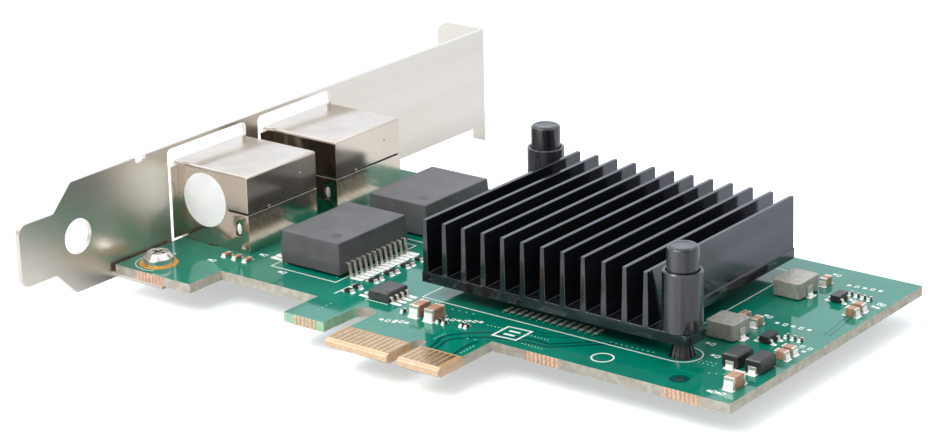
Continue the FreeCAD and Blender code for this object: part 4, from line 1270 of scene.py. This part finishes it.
@dataclass
class PushPin:
    """One push pin of the sink, from its barbed tip to its knob, with its sleeve."""

    number: int
    tip: float = 0.7
    barb: float = 1.75
    barb_levels: Point = (1.7, 2.0)
    stem: float = 1.3
    skirt: tuple[Point, Point] = ((1.8, 0.0), (1.62, 0.9))
    skirt_top: float = 1.9
    knob_foot: float = 11.5
    knob_lead: Point = (0.05, 0.2)
    knob_chamfer: Point = (0.38, 0.32)
    dish_slope: Point = (0.9, 1.0)
    dish_depth: float = 0.06
    corner: float = 0.12
    clearance: float = 0.12
    sleeve_floor: float = 1.0
    sleeve_chamfers: Sizes = (0.12, 0.16, 0.1)
    flutes: int = 14
    flute_outline: tuple[Point, ...] = ((1.25, 0.05), (1.98, 0.05), (1.36, 2.3), (1.25, 2.3))
    flute_half: float = 0.22

    def build_pin(self) -> tuple[Point, float]:
        """Turns the pin with a finer profile than the frame's.

        Returns:
            Where its axis stands and the radius of its knob.
        """
        name = f"push_pin_{self.number}"
        low, high = box_mm(name)
        axis = ((low.x + high.x) / 2, (low.y + high.y) / 2)
        bottom, top = low.z - BOARD_TOP, high.z - BOARD_TOP
        barb_foot, barb_top = (bottom + level for level in self.barb_levels)
        knob = (high.x - low.x) / 2
        lead, lead_rise = self.knob_lead
        chamfer, chamfer_drop = self.knob_chamfer
        rim, dish = (knob - inset for inset in self.dish_slope)
        dish_level = top - self.dish_depth
        profile = [
            (0.0, bottom), (self.tip, bottom), (self.barb, barb_foot), (self.barb, barb_top),
            (self.stem, barb_top), (self.stem, 0.0), *self.skirt, (self.stem, self.skirt_top),
            (self.stem, self.knob_foot), (knob - lead, self.knob_foot),
            (knob, self.knob_foot + lead_rise), (knob, top - chamfer_drop), (knob - chamfer, top),
            (rim, top), (dish, dish_level), (0.0, dish_level),
        ]
        mesh = bmesh.new()
        lathe(mesh, rounded_profile(profile, self.corner), (*axis, BOARD_TOP))
        piece = write_piece(f"{name}_dressed", mesh, [PIN_NYLON_PAINTED_STREAKS], smooth_angle=30.0)
        register(piece, [name])
        return axis, knob

    def build_flutes(self, axis: Point) -> None:
        """Adds the fluted skirt that presses on the board round the pin.

        Args:
            axis: Where the pin's axis stands.
        """
        widest = max(radius for radius, level in self.flute_outline)
        mesh = bmesh.new()
        for flute in range(self.flutes):
            angle = math.tau * flute / self.flutes
            way = Vector((math.cos(angle), math.sin(angle)))
            across = Vector((-way.y, way.x)) * self.flute_half
            rings = []
            for side in (-1, 1):
                rings.append([
                    (*(Vector(axis) + way * radius + across * side * (radius / widest)),
                     BOARD_TOP + level)
                    for radius, level in self.flute_outline
                ])
            skin(mesh, rings)
        name = f"push_pin_{self.number}_flutes"
        register(write_piece(name, mesh, [PIN_NYLON_PAINTED_STREAKS]))

    def build_sleeve(self, knob: float) -> None:
        """Turns the sleeve that the knob sinks into.

        Args:
            knob: Radius of the knob.
        """
        node = f"push_pin_sleeve_{self.number}"
        low, high = box_mm(node)
        foot = ((low.x + high.x) / 2, (low.y + high.y) / 2, low.z)
        outer = (high.x - low.x) / 2
        height = high.z - low.z
        hole = self.stem + self.clearance
        bore = knob + self.clearance
        foot_cut, top_cut, bore_cut = self.sleeve_chamfers
        ring = [
            (hole, 0.0), (outer - foot_cut, 0.0), (outer, foot_cut), (outer, height - top_cut),
            (outer - top_cut, height), (bore + bore_cut, height), (bore, height - foot_cut),
            (bore, self.sleeve_floor), (hole, self.sleeve_floor),
        ]
        mesh = bmesh.new()
        lathe(mesh, ring, foot)
        piece = write_piece(f"{node}_dressed", mesh, [PIN_NYLON_PAINTED_STREAKS], smooth_angle=30.0)
        register(piece, [node])

    def build(self) -> None:
        """Builds the pin, its flutes and its sleeve."""
        axis, knob = self.build_pin()
        self.build_flutes(axis)
        self.build_sleeve(knob)


@dataclass
class HeatSink:
    """The finned sink, its two push pins and what lies under it."""

    fin_round: float = 0.09
    chip_round: float = 0.1

    def build(self) -> None:
        """Dresses the sink, pins, package and thermal sheet."""
        softened("heat_sink", [ANODISED], self.fin_round, angle=50.0)
        for number in (1, 2):
            PushPin(number).build()
        softened("controller_chip", [CHIP_MOULDING], self.chip_round)
        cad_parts["thermal_pad"].data.materials[0] = THERMAL.material()


@dataclass
class Studio:
    """Pale floor, soft light and the camera."""

    azimuth: float = 37.38
    elevation: float = 19.317
    roll: float = -1.077
    target: Place = (-26.449, 55.312, 0.785)
    distance: float = 450.345
    lens: float = 103.015
    sensor: float = 36.0
    near_clip: float = 0.01
    far_clip: float = 20.0
    floor_drop: float = 0.06
    floor_reach: float = 3000.0
    floor_colour: Colour = (0.70, 0.715, 0.73)
    floor_rough: float = 0.9
    floor_lift: float = 0.5
    backdrop: float = 1.38
    seen_white: float = 1.05
    brightest_way: Place = (-0.60, 0.78, 0.16)
    sky_span: Point = (-1.0, 0.75)
    sky: tuple[tuple[float, Colour], ...] = (
        (0.0, (0.36, 0.345, 0.33)), (0.55, (0.56, 0.55, 0.54)), (0.92, (0.85, 0.915, 1.0))
    )

    def build_camera(self) -> None:
        """Sets the camera that looks down across the fingers and the sink."""
        a, e, r = (math.radians(v) for v in (self.azimuth, self.elevation, self.roll))
        back = Vector((math.sin(a) * math.cos(e), -math.cos(a) * math.cos(e), math.sin(e)))
        right = (-back).cross(Vector((0, 0, 1))).normalized()
        up = right.cross(-back)
        turned_right = right * math.cos(r) + up * math.sin(r)
        turned_up = up * math.cos(r) - right * math.sin(r)
        data = bpy.data.cameras.new("camera")
        data.sensor_width = self.sensor
        data.lens = self.lens
        data.clip_start = self.near_clip
        data.clip_end = self.far_clip
        camera = bpy.data.objects.new("camera", data)
        bpy.context.scene.collection.objects.link(camera)
        matrix = Matrix((turned_right, turned_up, back)).transposed().to_4x4()
        matrix.translation = (Vector(self.target) + back * self.distance) * MM
        camera.matrix_world = matrix
        bpy.context.scene.camera = camera

    def build_floor(self) -> None:
        """Lays the pale floor just under the lowest metal of the bracket."""
        level = CAD_BOX[0][2] / MM - self.floor_drop
        reach = self.floor_reach
        mesh = bmesh.new()
        corners = [(-reach, -reach), (reach, -reach), (reach, reach), (-reach, reach)]
        mesh.faces.new([mesh.verts.new((x, y, level)) for x, y in corners])
        floor = write_piece("studio_floor", mesh, [])
        made = bpy.data.materials.new("studio_paper")
        made.use_nodes = True
        tree = made.node_tree
        shader = tree.nodes["Principled BSDF"]
        shader.inputs["Base Color"].default_value = (*self.floor_colour, 1.0)
        shader.inputs["Roughness"].default_value = self.floor_rough
        shader.inputs["Specular IOR Level"].default_value = 0.0
        shader.inputs["Emission Color"].default_value = (1.0, 1.0, 1.0, 1.0)
        seen = add_node(tree, "LightPath", {}).outputs["Is Camera Ray"]
        lift = add_node(tree, "Math", {0: seen, 1: self.floor_lift}, operation="MULTIPLY")
        tree.links.new(lift.outputs[0], shader.inputs["Emission Strength"])
        floor.data.materials.append(made)

    def build_world(self) -> None:
        """Surrounds the scene with white that falls off towards the front."""
        world = bpy.data.worlds.new("studio")
        bpy.context.scene.world = world
        world.use_nodes = True
        tree = world.node_tree
        tree.nodes.clear()
        place = add_node(tree, "TexCoord", {}).outputs["Generated"]
        inputs = {0: place, 1: self.brightest_way}
        nearness = add_node(tree, "VectorMath", inputs, operation="DOT_PRODUCT").outputs["Value"]
        inputs = {"Value": nearness, "From Min": self.sky_span[0], "From Max": self.sky_span[1]}
        share = add_node(tree, "MapRange", inputs).outputs["Result"]
        ramp = add_node(tree, "ValToRGB", {"Fac": share})
        stops = ramp.color_ramp.elements
        stops.new(self.sky[1][0])
        for stop, (position, colour) in zip(stops, self.sky):
            stop.position = position
            stop.color = (*colour, 1.0)
        inputs = {"Color": ramp.outputs["Color"], "Strength": self.backdrop}
        lit = add_node(tree, "Background", inputs).outputs[0]
        inputs = {"Color": (1.0, 1.0, 1.0, 1.0), "Strength": self.seen_white}
        seen = add_node(tree, "Background", inputs).outputs[0]
        path = add_node(tree, "LightPath", {}).outputs["Is Camera Ray"]
        both = add_node(tree, "MixShader", {"Fac": path, 1: lit, 2: seen}).outputs[0]
        add_node(tree, "OutputWorld", {"Surface": both})

    def add_light(self, name: str, place: Place, aim: Place, size: Point, power: float) -> None:
        """Hangs one soft box.

        Args:
            name: The light's name.
            place: Where it hangs, in millimetres.
            aim: The point that it faces.
            size: Its two sides in millimetres.
            power: Its power in watts.
        """
        data = bpy.data.lights.new(name, "AREA")
        data.shape = "RECTANGLE"
        data.size, data.size_y = size[0] * MM, size[1] * MM
        data.energy = power
        light = bpy.data.objects.new(name, data)
        bpy.context.scene.collection.objects.link(light)
        light.location = Vector(place) * MM
        way = Vector(aim) * MM - light.location
        light.rotation_euler = way.to_track_quat("-Z", "Y").to_euler()

    def build(self) -> None:
        """Builds the studio."""
        self.build_camera()
        self.build_floor()
        self.build_world()
        self.add_light(
            "soft_top", place=(-60, 120, 700), aim=(-10, 40, 0), size=(1200, 900), power=1.9
        )
        self.add_light(
            "soft_front", place=(-120, -320, 440), aim=(-20, 30, 5), size=(400, 260), power=2.6
        )
        view = bpy.context.scene.view_settings
        view.view_transform = "Standard"
        view.look = "None"
        view.exposure = 0.0


def build_small_parts() -> None:
    """Dresses the packages, blocks and chips that are soldered to the board."""
    for number in (1, 2):
        Package(
            f"magnetics_{number}", "moulding", MOULDING,
            edge_round=0.22, pad_length=2.5, pad_width=1.1, toe_gap=1.5,
        ).build()
        Package(
            f"regulator_{number}", "moulding", CHIP_MOULDING,
            edge_round=0.08, pad_length=0.95, pad_width=0.6, toe_gap=0.35, lead_finish=BRIGHT_LEADS,
        ).build()
    Package(
        "memory", "chip", MEMORY_MOULDING,
        edge_round=0.06, pad_length=2.1, pad_width=0.74, toe_gap=1.1, lead_finish=BRIGHT_LEADS,
    ).build()
    for number in (1, 2):
        name = f"inductor_{number}"
        Block(f"{name}_core", f"{name}_terminals", "inductor", FERRITE, edge_round=0.16).build()
        name = f"diode_{number}"
        Block(f"{name}_body", f"{name}_straps", "moulding", CHIP_MOULDING, edge_round=0.08).build()
    TwoEndedChips(
        "bulk_capacitor", "ceramic", CERAMIC, edge_round=0.09, pad_reach=0.55, climb=0.72
    ).build()
    TwoEndedChips(
        "bypass_capacitor", "ceramic", CERAMIC, edge_round=0.08, pad_reach=0.45, climb=0.7
    ).build()
    TwoEndedChips(
        "resistor", "resistor", RESISTOR_GLAZE,
        edge_round=0.05, pad_reach=0.4, climb=0.85, ceramic_left_of=-40.0,
    ).build()
    TwoEndedChips(
        "mini_chip", "resistor", RESISTOR_GLAZE, edge_round=0.05, pad_reach=0.3, climb=0.85
    ).build()


def main() -> None:
    """Builds every sub-assembly in order."""
    logging.basicConfig(level=logging.INFO, format="%(message)s")
    for maker in (make_grain_group, make_handling_group, make_patches_group, make_layers_group):
        maker()
    Board().build()
    Bracket().build()
    for number in (1, 2):
        Jack(number).build()
    softened("jack_label", [LABEL], 0.03)
    build_small_parts()
    HeatSink().build()
    Studio().build()


if __name__ == "__main__":
    main()
